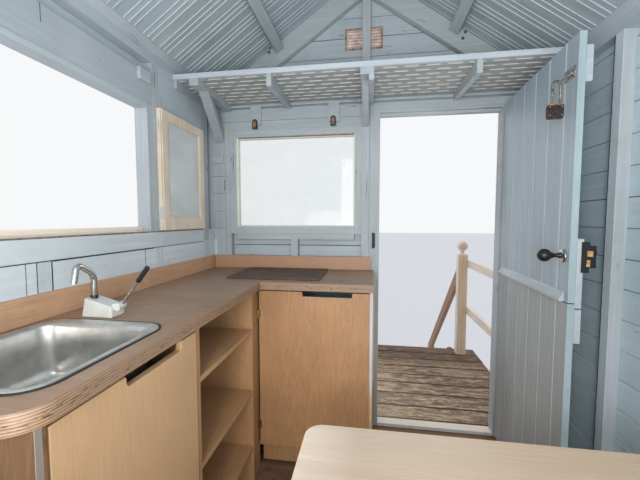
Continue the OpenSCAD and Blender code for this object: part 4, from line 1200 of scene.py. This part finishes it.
s = Shape()
for x, boss in ((642, 1), (182, 2)):
    arch_plate(s, x, 15.5, 1743, 1799, 12.05, 19, 0)
    arch_plate(s, x, 8.5, 1751, 1788, 19, 24, boss)
    for z in (1758, 1780):
        screw(s, (x, 24, z), "y", 3.6, 1.4)
make("shelf_catches", s, "catch_dark catch_brass catch_grey", 1.4)
blocks("lock_keep", "iron", "iron", 1.2, (-52, -40, 0.05, 13, 1050, 1140), (-58, -52, 0.05, 3, 1054, 1136))
s = Shape()
profile = [(9, 0), (9, 1.6), (6.5, 2), (6.5, 7), (5.5, 8.4), (0.05, 8.5)]
for x, z in ((557, 2178), (551, 2203), (-506, 2172), (-519, 2204)):
    s.lathe(profile, (x, 0.2, z), "y", 0, 8)
make("purlin_bolts", s, "old_bolt", 0.6)
blocks("header_block", "rail_y", "paint", 1.5, (899, 914.8, 579, 644, 1787, 1836))

# Finishes for the CAD pieces that stay: node, material, bevel in millimetres
for node, mat, bevel in (
        ("legs", "sawn_z", 3), ("floor_bearers", "sawn", 2.5), ("joists", "sawn", 2),
        ("sole_plates", "frame_r", 2), ("side_studs", "post", 2), ("end_studs", "post", 2),
        ("rails", "frame_r", 2), ("gable_rafters", "rail_x", 2), ("roof_timbers", "rail_y", 2),
        ("ridge_cap", "roof", 1), ("barge_boards", "white_x", 2.5), ("door_jambs", "post", 2),
        ("door_head", "rail_x", 2), ("threshold", "threshold", 3), ("door_ledges", "ledge", 2.5),
        ("door_hooks", "post", 0.8), ("window_glass", "glass", 0), ("shelf_slats", "slats", 1.5),
        ("shelf_bearers", "frame_r", 1.5), ("worktop", "worktop", 1.5), ("upstand", "ply_top", 1.5),
        ("hob_lid", "lid", 2), ("kitchen_panels", "ply_door", 0.8), ("kitchen_shelves", "ply_shelf", 0.8),
        ("table_top", "table", 2.5), ("table_legs", "table", 2.5), ("deck_beams", "sawn", 2.5),
        ("balustrade_rails", "rails", 3.5), ("step_strings", "string", 3), ("step_treads", "step", 3)):
    o = frame["nodes"][node]
    for sl in o.material_slots:
        sl.link = "OBJECT"
        sl.material = M[mat]
    if bevel:
        o.modifiers.new("join", "WELD").merge_threshold = 0.00005
        soften(o, bevel, 35)

# Stage, world, lamps and camera
me = bpy.data.meshes.new("stage_floor")
me.from_pydata([(-60, -60, 0), (60, -60, 0), (60, 60, 0), (-60, 60, 0)], [], [(0, 1, 2, 3)])
stage = bpy.data.objects.new("stage_floor", me)
bpy.context.scene.collection.objects.link(stage)
pale = Mat("stage_pale", 0.9)
pale.shader.inputs["Base Color"].default_value = (0.80, 0.81, 0.82, 1)
me.materials.append(pale.material)

# The world is a little brighter to the camera and in reflections than in its soft light
world = bpy.data.worlds.new("studio")
bpy.context.scene.world = world
world.use_nodes = True
tree = world.node_tree
tree.nodes.clear()
both = tree.nodes.new("ShaderNodeMixShader")
for i, color, strength in ((1, (0.93, 0.95, 1.0, 1), 0.9), (2, (0.93, 0.94, 0.95, 1), 1.0)):
    light = tree.nodes.new("ShaderNodeBackground")
    light.inputs["Color"].default_value = color
    light.inputs["Strength"].default_value = strength
    tree.links.new(light.outputs[0], both.inputs[i])
rays = tree.nodes.new("ShaderNodeLightPath").outputs
seen = rays["Is Camera Ray"]
for name in ("Is Glossy Ray", "Is Transmission Ray"):
    either = tree.nodes.new("ShaderNodeMath")
    either.operation = "MAXIMUM"
    tree.links.new(seen, either.inputs[0])
    tree.links.new(rays[name], either.inputs[1])
    seen = either.outputs[0]
tree.links.new(seen, both.inputs[0])
tree.links.new(both.outputs[0], tree.nodes.new("ShaderNodeOutputWorld").inputs["Surface"])

# Lamps: place, aim, size in metres and watts
for name, at, aim, size, watts in (
        ("lamp_up", (0, 2050, 1150), (0, 700, 2500), (1.5, 0.5), 18),
        ("lamp_cross", (150, 2360, 1400), (-915, 500, 1350), (0.4, 1.2), 18),
        ("lamp_low", (-150, 2200, 420), (100, 300, 700), (1.2, 0.5), 8.5),
        ("lamp_reveal", (-690, -330, 1000), (-60, -30, 700), (0.25, 1.5), 1.6),
        ("lamp_door", (-398, -20, 950), (300, 1500, 1100), (0.6, 1.6), 1.5)):
    d = bpy.data.lights.new(name, "AREA")
    d.shape, d.size, d.size_y = "RECTANGLE", size[0], size[1]
    d.energy = watts
    d.color = (1, 0.98, 0.95)
    o = bpy.data.objects.new(name, d)
    o.location = to_frame(at)
    o.rotation_euler = (Vector(to_frame(aim)) - Vector(to_frame(at))).to_track_quat("-Z", "Y").to_euler()
    o.visible_camera = False
    bpy.context.scene.collection.objects.link(o)

cam = bpy.data.cameras.new("camera")
cam.lens, cam.sensor_width, cam.sensor_fit = 18.32, 36, "HORIZONTAL"
cam.clip_start = 0.02
cam_o = bpy.data.objects.new("camera", cam)
fwd = Vector((0.1470, -0.9873, -0.0609)).normalized()
right = Vector((-0.9891, -0.1473, 0)).normalized()
up = right.cross(fwd).normalized()
right = fwd.cross(up).normalized()
rot = Matrix((right, up, -fwd)).transposed().to_4x4()
cam_o.matrix_world = Matrix.Translation((-0.0207, 1.9173, 2.3607)) @ rot
bpy.context.scene.collection.objects.link(cam_o)
bpy.context.scene.camera = cam_o
bpy.context.scene.view_settings.view_transform = "Standard"

bpy.context.view_layer.update()
